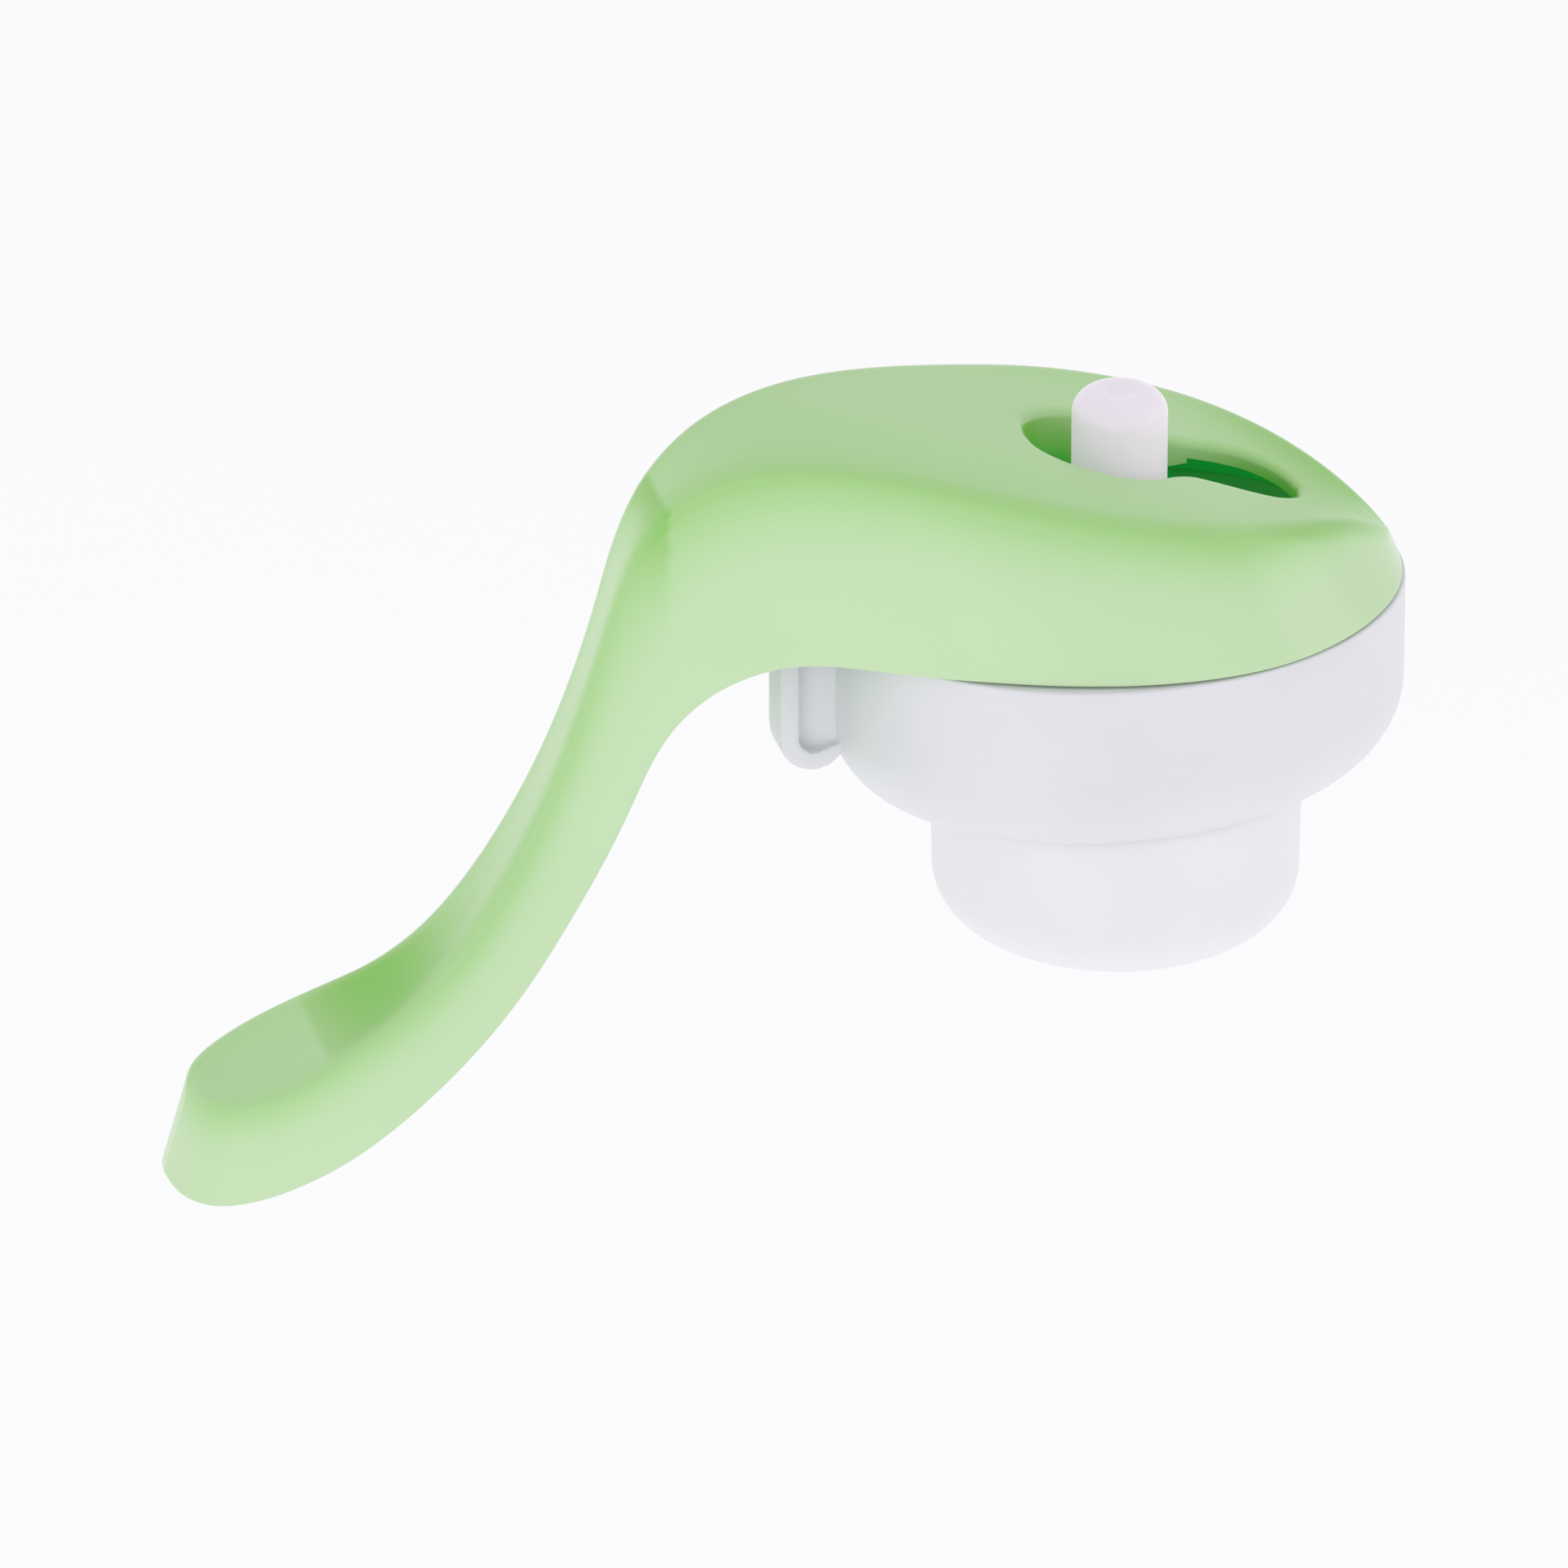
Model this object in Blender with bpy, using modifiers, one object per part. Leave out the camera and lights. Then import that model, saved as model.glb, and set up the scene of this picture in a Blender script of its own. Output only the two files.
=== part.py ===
"""Lever head of a hand-squeezed suction pump.

A white oval housing carries a green hand lever on a hinge pin.  Squeezing the
long arm of the lever towards the bottle swings the hood up, and a fork inside
the hood lifts the stem, which draws the silicone cup up and makes suction.

Frame: metres, +Z up along the stem, +X from the arm towards the nose of the
hood.  The origin is on the stem axis in the seat plane, the flat underside of
the housing that rests on the pump body.  Sizes below are in millimetres.
"""

import math

import bmesh
import bpy
from mathutils import Vector

MM = 0.001
GAP = 0.3                     # between pieces that touch or are cut by each other
PART_NAME = "hand_lever_pump_head"

# Driving sizes, heights and places.
RIM_Z = 22.1                  # underside of the hood above the seat plane
HOUSING_X = -0.3              # centre of the oval housing
HOUSING_HALF_X = 31.3
HOUSING_HALF_Y = 25.3
HOUSING_FILLET = 10.0
HOUSING_LEAN = 0.8            # the lower edge sits this much nearer the arm
WALL = 2.0
HOLLOW_FILLET = 5.0
FLOOR_Z = 5.1                 # ledge that the silicone cup hangs from
CUP_RADIUS = 20.0
CUP_TAPER = 0.3               # the cup is this much slimmer at its foot
CUP_DROP = 17.0               # how far the cup reaches below the seat plane
CUP_WALL = 1.5
CUP_FLOOR = 1.8
CUP_FILLET = 5.6
FLANGE_RADIUS = 22.0
FLANGE_THICK = 1.5
CLAMP_SCREWS = [-25.0, 23.8]
CLAMP_INNER = 17.6
CLAMP_THICK = 2.0
CLAMP_EAR = 2.6
POST_RADIUS = 2.8             # posts in the housing that the guide plate is screwed to
HINGE_X = -35.0
HINGE_Z = RIM_Z + 11.0
ROD_RADIUS = 3.0
CAP_RADIUS = 5.1
CAP_TOP_Z = RIM_Z + 22.5
SHOULDER_Z = RIM_Z + 10.3     # underside of the stem cap, lifted by the fork
FORK_TOP_Z = RIM_Z + 8.0
FORK_THICK = 2.4
FORK_SLOT = 0.6               # gap between the fork and the rod on each side
LIFT_RADIUS = 2.0             # the fork's two round lifting bosses
GUIDE_TOP_Z = RIM_Z - 2.0
GUIDE_LOW_Z = GUIDE_TOP_Z - 2.0
GUIDE_SCREWS = [(-25.2, -7.2), (-25.2, 7.2), (24.0, -7.2), (24.0, 7.2)]
TUBE_LOW_Z = RIM_Z - 14.0
TUBE_HIGH_Z = RIM_Z + 0.6
TUBE_RADIUS = 6.0
TUBE_BORE = 4.5
BUSH_RADIUS = 4.3
BUSH_COLLAR = 5.6
DISC_TOP_Z = RIM_Z - 33.8
DISC_THICK = 2.0
CAP_EDGE = 1.6                # rounding round the top of the stem cap
CAP_SOCKET = 4.3              # from the top of the cap down to the end of its socket
SPIGOT_RADIUS = 2.2           # the rod's two ends, inside the cap and the piston
SPIGOT_LENGTH = 2.9           # how far the lower end reaches through the piston
SPIGOT_CLEARANCE = 0.25
RUNNING_CLEARANCE = 0.06
PIN_RADIUS = 1.6
PIN_HALF = 7.6
CLIP_RADIUS = 3.0
CLIP_HALF = 0.4               # half the clip's thickness
WASHER_RADIUS = 4.0
WASHER_HALF = 0.25
EAR_INNER = 3.3               # the lever's hinge ears, measured from the middle
EAR_OUTER = 5.8
EAR_RADIUS = 4.4
BRACKET_HALF = 2.5            # the housing's hinge bracket between the ears
BRACKET_LEFT = -37.8
BRACKET_RIGHT = -30.1
BRACKET_LOW = 5.0             # lowest point of the lug, above the seat plane
BRACKET_BOSS = 4.2
BRACKET_STRIP = 1.0           # thickness of the strip round the recess
BRACKET_WEB = 0.7             # half thickness of the web between the recesses
FRAME_SCREWS = [(-22.0, -6.5), (-22.0, 6.5), (2.0, -11.5), (2.0, 11.5)]
FRAME_BOSS_TOPS = [19.4, 19.4, 13.5, 13.5]
BOSS_RADIUS = 2.7
HOLE_RADIUS = 1.45            # for every screw
SHANK_RADIUS = 1.2
HEAD_RADIUS = 2.2
HEAD_HEIGHT = 1.2
COVER_LAST = 10               # the arm cover runs from the tip to this cross-section
COVER_GAP = 0.35
COVER_DEPTHS = (0.7, 2.5)     # its faces, measured up from the lower edge of the arm
SEAT_RADIUS = 8.8             # the two steel seats of the spring
SEAT_THICK = 0.7
SPRING_RADIUS = 7.3
SPRING_WIRE = 0.45
SPRING_TURNS = 8
SPRING_POINTS = 10

# Number of flat sides on round pieces.
SIDES_OVAL = 48
SIDES_LARGE = 48
SIDES_ROD = 24
SIDES_SMALL = 12

# Colours as linear RGB.
GREEN = (0.55, 0.76, 0.43)
GREEN_DEEP = (0.25, 0.55, 0.16)
WHITE = (0.76, 0.76, 0.80)
SILICONE = (0.80, 0.79, 0.83)
STEEL = (0.62, 0.62, 0.64)
ACETAL = (0.82, 0.82, 0.80)

# The lever from the tip of the thumb paddle to the nose of the hood.  Each row
# is one cross-section: x and z of the middle of the rolled top edge and its half
# width, then x and z of the lower edge and its half width.  Heights count from
# the rim of the hood.
LEVER_SECTIONS = [
    (-102.1, -47.0, 0.0, -105.1, -57.0, 0.0),
    (-101.6, -46.9, 2.9, -104.6, -57.5, 3.4),
    (-100.0, -46.5, 5.5, -103.0, -57.8, 6.1),
    (-97.0, -45.7, 7.5, -99.9, -57.5, 8.5),
    (-92.3, -44.0, 8.6, -93.6, -56.2, 9.4),
    (-86.5, -41.2, 7.7, -85.0, -53.3, 8.2),
    (-80.2, -37.9, 6.1, -75.9, -46.8, 7.4),
    (-74.5, -33.0, 5.0, -68.0, -38.7, 6.8),
    (-69.0, -25.6, 4.1, -61.7, -29.2, 6.5),
    (-63.8, -16.1, 3.3, -56.4, -19.6, 6.5),
    (-59.9, -6.6, 2.8, -52.2, -10.0, 6.7),
    (-57.0, 2.4, 2.6, -47.8, -4.6, 7.7),
    (-54.6, 10.3, 3.2, -43.2, -1.6, 9.1),
    (-51.0, 16.8, 4.4, -38.6, -0.2, 10.4),
    (-44.6, 21.2, 6.9, -33.6, 0.0, 12.2),
    (-36.0, 22.6, 10.1, -27.3, 0.0, 15.9),
    (-26.0, 21.6, 13.6, -20.0, 0.0, 19.4),
    (-14.0, 18.9, 17.2, -11.0, 0.0, 22.9),
    (-2.0, 16.1, 19.2, -0.5, 0.0, 25.0),
    (9.5, 13.1, 17.6, 10.5, 0.0, 24.2),
    (18.0, 10.4, 13.1, 19.6, 0.0, 19.7),
    (24.0, 7.4, 8.0, 26.2, 0.0, 13.3),
    (28.2, 4.0, 3.9, 29.8, 0.0, 6.6),
    (30.0, 1.9, 0.0, 30.8, 0.0, 0.0),
]
# Height of the middle of the top over its edges at each of those cross-sections: a
# scoop along the arm, a crown over the hinge and a dish round the nose end of the hood.
CROWNS = [
    0.0, -0.3, -0.6, -0.7, -0.7, -0.7, -0.7, -0.6, -0.4, -0.2, -0.1, -0.1,
    -0.1, 0.0, 0.3, 0.8, 0.9, 0.7, 0.0, -0.6, -1.55, -1.25, -0.7, 0.0,
]
LEVER_STEPS = 2               # rings to each cross-section above
EDGE_ROLL = 2.2
ROLL_RISE = 0.18              # the tops of the rolled edges stand this part of a roll higher
TOP_POINTS = 3
ROLL_POINTS = 3
SIDE_POINTS = 2

# The keyhole in the hood: x and half width, from the arm side to the nose side.
KEYHOLE = [
    (-10.3, 0.0), (-9.6, 3.3), (-7.4, 5.7), (-4.4, 7.1), (-1.2, 7.5), (1.8, 6.8), (4.2, 5.3),
    (6.6, 4.4), (9.4, 4.7), (12.6, 5.1), (15.8, 4.8), (18.5, 2.9), (19.6, 0.0),
]
COLLAR_LOW = RIM_Z + 10.4     # underside of the collar that deepens the keyhole round the stem
COLLAR_WALL = 1.6
COLLAR_COVER = 1.0            # the collar's top stays this far under the outer skin
COLLAR_POINTS = 8             # it follows the keyhole from the arm side to this point, the waist
COLLAR_END = 8.8              # and ends just past it, in x

# Two curved ribs inside the rim, which centre the hood between the housing's sides.
RIB_WALL = 1.0
RIB_CLEARANCE = 0.35
RIB_DROP = 1.2                # how far they reach down into the housing
RIB_RISE = 1.6                # and up the inside of the hood
RIB_SPAN = (-10.0, 24.0)      # where they start and end, in x


def clear_scene():
    for obj in list(bpy.data.objects):
        bpy.data.objects.remove(obj, do_unlink=True)


def collection(name):
    made = bpy.data.collections.new(name)
    bpy.context.scene.collection.children.link(made)
    return made


clear_scene()
PARTS = collection(PART_NAME)
CUTTERS = collection(PART_NAME + "_cutters")


def material(name, colour, roughness, metallic=0.0):
    made = bpy.data.materials.new(name)
    made.use_nodes = True
    shader = made.node_tree.nodes["Principled BSDF"]
    shader.inputs["Base Color"].default_value = (*colour, 1.0)
    shader.inputs["Roughness"].default_value = roughness
    shader.inputs["Metallic"].default_value = metallic
    return made


def move_to(obj, target):
    for old in list(obj.users_collection):
        old.objects.unlink(obj)
    target.objects.link(obj)


def finish_part(obj, mat, pivot=None):
    """File the object as a part, give it its material and hang it on its pivot."""
    move_to(obj, PARTS)
    obj.data.materials.clear()
    obj.data.materials.append(mat)
    obj.data.shade_smooth()
    if pivot is not None:
        bpy.context.view_layer.update()
        obj.parent = pivot
        obj.matrix_parent_inverse = pivot.matrix_world.inverted()
    return obj


def finish_cutter(obj):
    move_to(obj, CUTTERS)
    obj.hide_render = True
    obj.display_type = "WIRE"
    return obj


def boolean(obj, tool, operation):
    step = obj.modifiers.new(operation.lower() + "_" + tool.name, "BOOLEAN")
    step.operation = operation
    step.object = tool
    finish_cutter(tool)


def mesh_object(name, shape):
    """Close up a bmesh, turn its faces outwards and put it in the scene as an object."""
    bmesh.ops.remove_doubles(shape, verts=shape.verts, dist=0.000002)
    bmesh.ops.dissolve_degenerate(shape, edges=shape.edges, dist=0.000002)
    bmesh.ops.recalc_face_normals(shape, faces=shape.faces)
    mesh = bpy.data.meshes.new(name)
    shape.to_mesh(mesh)
    shape.free()
    obj = bpy.data.objects.new(name, mesh)
    bpy.context.scene.collection.objects.link(obj)
    return obj


def bridge(shape, rings):
    """Faces between each ring of vertices and the next."""
    count = len(rings[0])
    for first, second in zip(rings, rings[1:]):
        for k in range(count):
            after = (k + 1) % count
            shape.faces.new((first[k], first[after], second[after], second[k]))


def cylinder(name, radius, low, high, x=0.0, y=0.0, sides=32):
    bpy.ops.mesh.primitive_cylinder_add(
        radius=radius * MM,
        depth=(high - low) * MM,
        location=(x * MM, y * MM, (low + high) / 2 * MM),
        vertices=sides,
    )
    obj = bpy.context.object
    obj.name = name
    return obj


def cross_cylinder(name, radius, low, high, x, z, sides=32):
    """A cylinder whose axis runs along Y."""
    bpy.ops.mesh.primitive_cylinder_add(
        radius=radius * MM,
        depth=(high - low) * MM,
        location=(x * MM, (low + high) / 2 * MM, z * MM),
        rotation=(math.pi / 2, 0, 0),
        vertices=sides,
    )
    obj = bpy.context.object
    obj.name = name
    return obj


def box(name, low, high):
    size = [(b - a) * MM for a, b in zip(low, high)]
    centre = [(a + b) / 2 * MM for a, b in zip(low, high)]
    bpy.ops.mesh.primitive_cube_add(size=1.0, location=centre)
    obj = bpy.context.object
    obj.name = name
    for vertex in obj.data.vertices:
        vertex.co = [v * s for v, s in zip(vertex.co, size)]
    return obj


def turned(name, profile, sides=48, closed=False):
    """Turn a profile of (radius, z) about the stem axis."""
    mesh = bpy.data.meshes.new(name)
    points = [(radius * MM, 0.0, z * MM) for radius, z in profile]
    edges = [(i, i + 1) for i in range(len(points) - 1)]
    if closed:
        edges.append((len(points) - 1, 0))
    mesh.from_pydata(points, edges, [])
    obj = bpy.data.objects.new(name, mesh)
    bpy.context.scene.collection.objects.link(obj)
    screw = obj.modifiers.new("turn", "SCREW")
    screw.steps = sides
    screw.render_steps = sides
    screw.use_merge_vertices = True
    screw.merge_threshold = 0.00001
    return obj


def ring(name, inner, outer, low, high, sides=32):
    profile = [(inner, high), (outer, high), (outer, low), (inner, low)]
    return turned(name, profile, sides, closed=True)


def outline_solid(name, points, thickness):
    """A flat outline in the XY plane, made solid and centred on z = 0."""
    curve = bpy.data.curves.new(name, "CURVE")
    curve.dimensions = "2D"
    curve.fill_mode = "BOTH"
    curve.extrude = thickness / 2 * MM
    spline = curve.splines.new("POLY")
    spline.points.add(len(points) - 1)
    for point, (x, y) in zip(spline.points, points):
        point.co = (x * MM, y * MM, 0.0, 1.0)
    spline.use_cyclic_u = True
    guide = bpy.data.objects.new(name + "_curve", curve)
    bpy.context.scene.collection.objects.link(guide)
    evaluated = guide.evaluated_get(bpy.context.evaluated_depsgraph_get())
    shape = bmesh.new()
    shape.from_mesh(bpy.data.meshes.new_from_object(evaluated))
    bpy.data.objects.remove(guide, do_unlink=True)
    return mesh_object(name, shape)


def arc(cx, cy, radius, start, end, count):
    """Points on an arc, angles in degrees."""
    angles = [math.radians(start + (end - start) * i / count) for i in range(count + 1)]
    return [(cx + radius * math.cos(a), cy + radius * math.sin(a)) for a in angles]


def smooth_path(keys, steps):
    """Catmull-Rom curve through the rows of keys, with a number of steps to each span."""
    rows = [Vector(key) for key in keys]
    padded = [rows[0] * 2 - rows[1]] + rows + [rows[-1] * 2 - rows[-2]]
    made = []
    for i in range(len(rows) - 1):
        a, b, c, d = padded[i:i + 4]
        for k in range(steps):
            t = k / steps
            made.append(
                0.5 * (2 * b + (c - a) * t + (2 * a - 5 * b + 4 * c - d) * t**2
                       + (3 * b - a - 3 * c + d) * t**3)
            )
    made.append(rows[-1])
    return made


# ---------------------------------------------------------------- lever shell


def inset_sections(sections, depth):
    """The same sections moved inwards by depth, along the outline as well as across it."""
    made = []
    last = len(sections) - 1
    for i, row in enumerate(sections):
        before = sections[max(i - 1, 0)]
        after = sections[min(i + 1, last)]
        moved = []
        for first in (0, 3):
            along = Vector((after[first] - before[first], after[first + 1] - before[first + 1]))
            widening = after[first + 2] - before[first + 2]
            if i == 0 or i == last:
                direction = 1.0 if i == 0 else -1.0
                shift = along.normalized() * depth * direction
                narrowing = 0.0
            else:
                slant = math.hypot(along.length, widening)
                shift = along.normalized() * depth * widening / slant
                narrowing = depth * along.length / slant
            moved.append((row[first] + shift.x, row[first + 1] + shift.y,
                          max(row[first + 2] - narrowing, 0.0)))
        top, low = moved
        down = Vector((low[0] - top[0], low[1] - top[1])).normalized() * depth
        made.append((top[0] + down.x, top[1] + down.y, top[2], *low))
    return made


def half_section(row, roll, crown):
    """Half of a cross-section from the middle of its top to its lower edge, as 3-D points."""
    top = Vector((row[0], row[1]))
    low = Vector((row[3], row[4]))
    top_width, low_width = row[2], row[5]
    height = (low - top).length
    down = (low - top) / height
    roll = min(roll, 0.45 * top_width, 0.45 * height)
    top = top - down * ROLL_RISE * roll
    top_width += 0.1 * roll
    height += ROLL_RISE * roll
    flat = top_width - roll
    flare = (low_width - top_width) / height
    corner = top_width + 0.25 * roll
    points = []
    for k in range(TOP_POINTS):
        y = flat * k / TOP_POINTS
        lift = crown * (1 - (y / top_width) ** 2) if top_width > 0 else 0.0
        points.append((y, -lift))
    for k in range(ROLL_POINTS + 1):
        t = k / ROLL_POINTS
        lift = crown * (1 - (flat / top_width) ** 2) if top_width > 0 else 0.0
        start = Vector((flat, -lift))
        middle = Vector((corner, -0.1 * roll))
        end = Vector((top_width + flare * roll, roll))
        point = start * (1 - t) ** 2 + middle * 2 * t * (1 - t) + end * t**2
        points.append((point.x, point.y))
    for k in range(1, SIDE_POINTS + 1):
        s = roll + (height - roll) * k / SIDE_POINTS
        points.append((top_width + flare * s, s))
    return [Vector((top.x + down.x * s, y, top.y + down.y * s + RIM_Z)) for y, s in points]


def skin_of(sections, roll):
    """The half-sections of one skin of the lever."""
    crowns = smooth_path(list(enumerate(CROWNS)), LEVER_STEPS)
    return [half_section(row, roll, crown.y) for row, crown in zip(sections, crowns)]


def loop_of(half):
    """The half-section and its mirror image as one run of points, near side to far side."""
    near = [Vector((p.x, -p.y, p.z)) for p in reversed(half)]
    return near + half[1:]


def loft(name, rings):
    """A closed solid through equal rings of points, with both ends capped."""
    shape = bmesh.new()
    made = [[shape.verts.new(p * MM) for p in points] for points in rings]
    bridge(shape, made)
    shape.faces.new(list(reversed(made[0])))
    shape.faces.new(made[-1])
    return mesh_object(name, shape)


def channel_loft(name, outer, inner):
    """A channel between an outer and an inner skin, open below and closed at both ends."""
    shape = bmesh.new()
    rings = []
    for outside, inside in zip(outer, inner):
        points = loop_of(outside) + list(reversed(loop_of(inside)))
        rings.append([shape.verts.new(p * MM) for p in points])
    bridge(shape, rings)
    return mesh_object(name, shape)


def mirrored_outline(half):
    """A closed outline from its far half and the mirror image of it."""
    return half + [(x, -y) for x, y in reversed(half[1:-1])]


def keyhole_cutter():
    half = [(p.x, p.y) for p in smooth_path(KEYHOLE, 2)]
    cutter = outline_solid("cut_keyhole", mirrored_outline(half), 30.0)
    cutter.location.z = (RIM_Z + 20.0) * MM
    return cutter


def keyhole_collar(sections):
    """Collar round the stem under the hood, which makes the wall of the keyhole deeper there."""
    widened = []
    for x, half_width in KEYHOLE[:COLLAR_POINTS]:
        out = Vector((x, half_width)).normalized() * COLLAR_WALL
        widened.append((x + out.x, half_width + out.y))
    widened += [(COLLAR_END, widened[-1][1]), (COLLAR_END, 0.0)]
    height = 12.0
    collar = outline_solid("join_collar", mirrored_outline(widened), height)
    collar.location.z = (COLLAR_LOW + height / 2) * MM
    covered = skin_of(inset_sections(sections, COLLAR_COVER), EDGE_ROLL)
    tool = loft("cut_collar_top", [loop_of(half) for half in covered])
    boolean(collar, tool, "INTERSECT")
    return collar


def rim_ribs():
    """The two centring ribs: an oval ring cut down to its stretches along the sides."""
    outer = HOUSING_HALF_Y - WALL
    loose = outer - RIB_CLEARANCE
    inner = loose - RIB_WALL
    low = RIM_Z - RIB_DROP
    high = RIM_Z + RIB_RISE
    step = RIM_Z + GAP
    profile = [(inner, high), (outer, high), (outer, step), (loose, step), (loose, low), (inner, low)]
    ribs = turned("join_ribs", profile, SIDES_OVAL, closed=True)
    ribs.scale.x = (HOUSING_HALF_X - WALL - RIB_CLEARANCE) / loose
    ribs.location.x = HOUSING_X * MM
    start, end = RIB_SPAN
    span = box("cut_rib_span", (start, -40.0, low - 1.0), (end, 40.0, high + 1.0))
    boolean(ribs, span, "INTERSECT")
    return ribs


def make_lever_shell(mat, pivot):
    sections = smooth_path(LEVER_SECTIONS, LEVER_STEPS)
    outer = skin_of(sections, EDGE_ROLL)
    inner = skin_of(inset_sections(sections, WALL), EDGE_ROLL / 2)
    shell = channel_loft("lever_shell", outer, inner)
    boolean(shell, rim_ribs(), "UNION")
    boolean(shell, keyhole_collar(sections), "UNION")
    boolean(shell, keyhole_cutter(), "DIFFERENCE")
    for i, ((x, y), top) in enumerate(zip(FRAME_SCREWS, FRAME_BOSS_TOPS)):
        boss = cylinder(f"join_boss_{i + 1}", BOSS_RADIUS, FORK_TOP_Z + GAP, RIM_Z + top, x, y,
                        SIDES_SMALL)
        boolean(shell, boss, "UNION")
    for i, (x, y) in enumerate(FRAME_SCREWS):
        hole = cylinder(f"cut_boss_{i + 1}", HOLE_RADIUS, FORK_TOP_Z - 1.0, RIM_Z + 11.6, x, y,
                        SIDES_SMALL)
        boolean(shell, hole, "DIFFERENCE")
    return finish_part(shell, mat, pivot)


# ------------------------------------------------- fork, hinge and arm cover


def make_lever_frame(mat, pivot):
    """Fork plate under the stem cap, with two round lifting bosses and two hinge ears."""
    outline = [(-29.0, -8.0), (8.0, -14.6), (8.0, 14.6), (-29.0, 8.0)]
    frame = outline_solid("lever_frame", outline, FORK_THICK)
    frame.location.z = (FORK_TOP_Z - FORK_THICK / 2) * MM
    slot_half = ROD_RADIUS + FORK_SLOT
    slot = [(12.0, -slot_half)]
    slot += [(x, y) for x, y in reversed(arc(-0.5, 0.0, slot_half, 90, 270, 8))]
    slot += [(12.0, slot_half)]
    slot_tool = outline_solid("cut_fork_slot", slot, 12.0)
    slot_tool.location.z = FORK_TOP_Z * MM
    boolean(frame, slot_tool, "DIFFERENCE")
    for side in (-1, 1):
        label = "near" if side < 0 else "far"
        reach = sorted((side * (ROD_RADIUS + 0.7), side * 6.8))
        lift = cross_cylinder(f"join_lift_{label}", LIFT_RADIUS, *reach, 0.0, FORK_TOP_Z,
                              SIDES_ROD)
        boolean(frame, lift, "UNION")
        width = sorted((side * EAR_INNER, side * EAR_OUTER))
        arm = box(f"join_ear_arm_{label}", (HINGE_X, width[0], FORK_TOP_Z - FORK_THICK + 0.01),
                  (-26.0, width[1], HINGE_Z + 1.0))
        boolean(frame, arm, "UNION")
        ear = cross_cylinder(f"join_ear_{label}", EAR_RADIUS, width[0] + 0.01, width[1] - 0.01,
                             HINGE_X, HINGE_Z, SIDES_ROD)
        boolean(frame, ear, "UNION")
    bore = cross_cylinder("cut_ear_bore", PIN_RADIUS + 0.1, -12.0, 12.0, HINGE_X, HINGE_Z,
                          SIDES_ROD)
    boolean(frame, bore, "DIFFERENCE")
    for i, (x, y) in enumerate(FRAME_SCREWS):
        hole = cylinder(f"cut_frame_hole_{i + 1}", HOLE_RADIUS, FORK_TOP_Z - 6.0, FORK_TOP_Z + 3.0,
                        x, y, SIDES_SMALL)
        boolean(frame, hole, "DIFFERENCE")
    return finish_part(frame, mat, pivot)


def screw(name, x, y, seat_z, length, mat, pivot=None, downwards=False):
    """A pan-head screw with its head against seat_z and its shank beyond it."""
    recess = HEAD_HEIGHT - 0.6
    profile = [
        (0.0, length), (SHANK_RADIUS - 0.3, length), (SHANK_RADIUS, length - 0.4),
        (SHANK_RADIUS, 0.0), (HEAD_RADIUS, 0.0), (HEAD_RADIUS, -recess),
        (HEAD_RADIUS - 0.5, -HEAD_HEIGHT), (1.0, -HEAD_HEIGHT), (0.7, -recess), (0.0, -recess),
    ]
    obj = turned(name, profile, SIDES_SMALL)
    obj.location = (x * MM, y * MM, seat_z * MM)
    if downwards:
        obj.rotation_euler = (math.pi, 0, 0)
    return finish_part(obj, mat, pivot)


def make_frame_screws(mat, pivot):
    seat = FORK_TOP_Z - FORK_THICK - 0.1
    for i, (x, y) in enumerate(FRAME_SCREWS):
        screw(f"frame_screw_{i + 1}", x, y, seat, 5.4, mat, pivot)


def lay_on_pin(obj, y):
    obj.rotation_euler = (math.pi / 2, 0, 0)
    obj.location = (HINGE_X * MM, y * MM, HINGE_Z * MM)


def make_hinge(steel, plastic, pivot):
    """Pin through both ears and the bracket, two clips outside and two washers between."""
    pin = cross_cylinder("hinge_pin", PIN_RADIUS, -PIN_HALF, PIN_HALF, HINGE_X, HINGE_Z, SIDES_ROD)
    finish_part(pin, steel, pivot)
    for side in (-1, 1):
        label = "near" if side < 0 else "far"
        clip = ring(f"pin_clip_{label}", PIN_RADIUS + RUNNING_CLEARANCE, CLIP_RADIUS, -CLIP_HALF,
                    CLIP_HALF, SIDES_ROD)
        lay_on_pin(clip, side * (EAR_OUTER + 0.6))
        finish_part(clip, steel, pivot)
        washer = ring(f"hinge_washer_{label}", PIN_RADIUS + RUNNING_CLEARANCE, WASHER_RADIUS,
                      -WASHER_HALF, WASHER_HALF, SIDES_ROD)
        lay_on_pin(washer, side * (BRACKET_HALF + 0.4))
        finish_part(washer, plastic)


def cover_ring(row):
    """Four corners of the cover at one section of the arm."""
    top = Vector((row[0], row[1]))
    low = Vector((row[3], row[4]))
    height = (low - top).length
    up = (top - low) / height
    corners = []
    for depth, side in ((COVER_DEPTHS[0], -1), (COVER_DEPTHS[0], 1), (COVER_DEPTHS[1], 1),
                        (COVER_DEPTHS[1], -1)):
        half = row[5] + (row[2] - row[5]) * depth / height
        point = low + up * depth
        corners.append(Vector((point.x, side * half, point.y + RIM_Z)))
    return corners


def make_arm_cover(mat, pivot):
    """Closes the hollow underside of the arm from the paddle to the neck."""
    sections = inset_sections(smooth_path(LEVER_SECTIONS, LEVER_STEPS), WALL + COVER_GAP)
    rows = sections[:COVER_LAST * LEVER_STEPS + 1]
    cover = loft("arm_cover", [cover_ring(row) for row in rows])
    return finish_part(cover, mat, pivot)


# -------------------------------------------------------------------- housing


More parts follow.
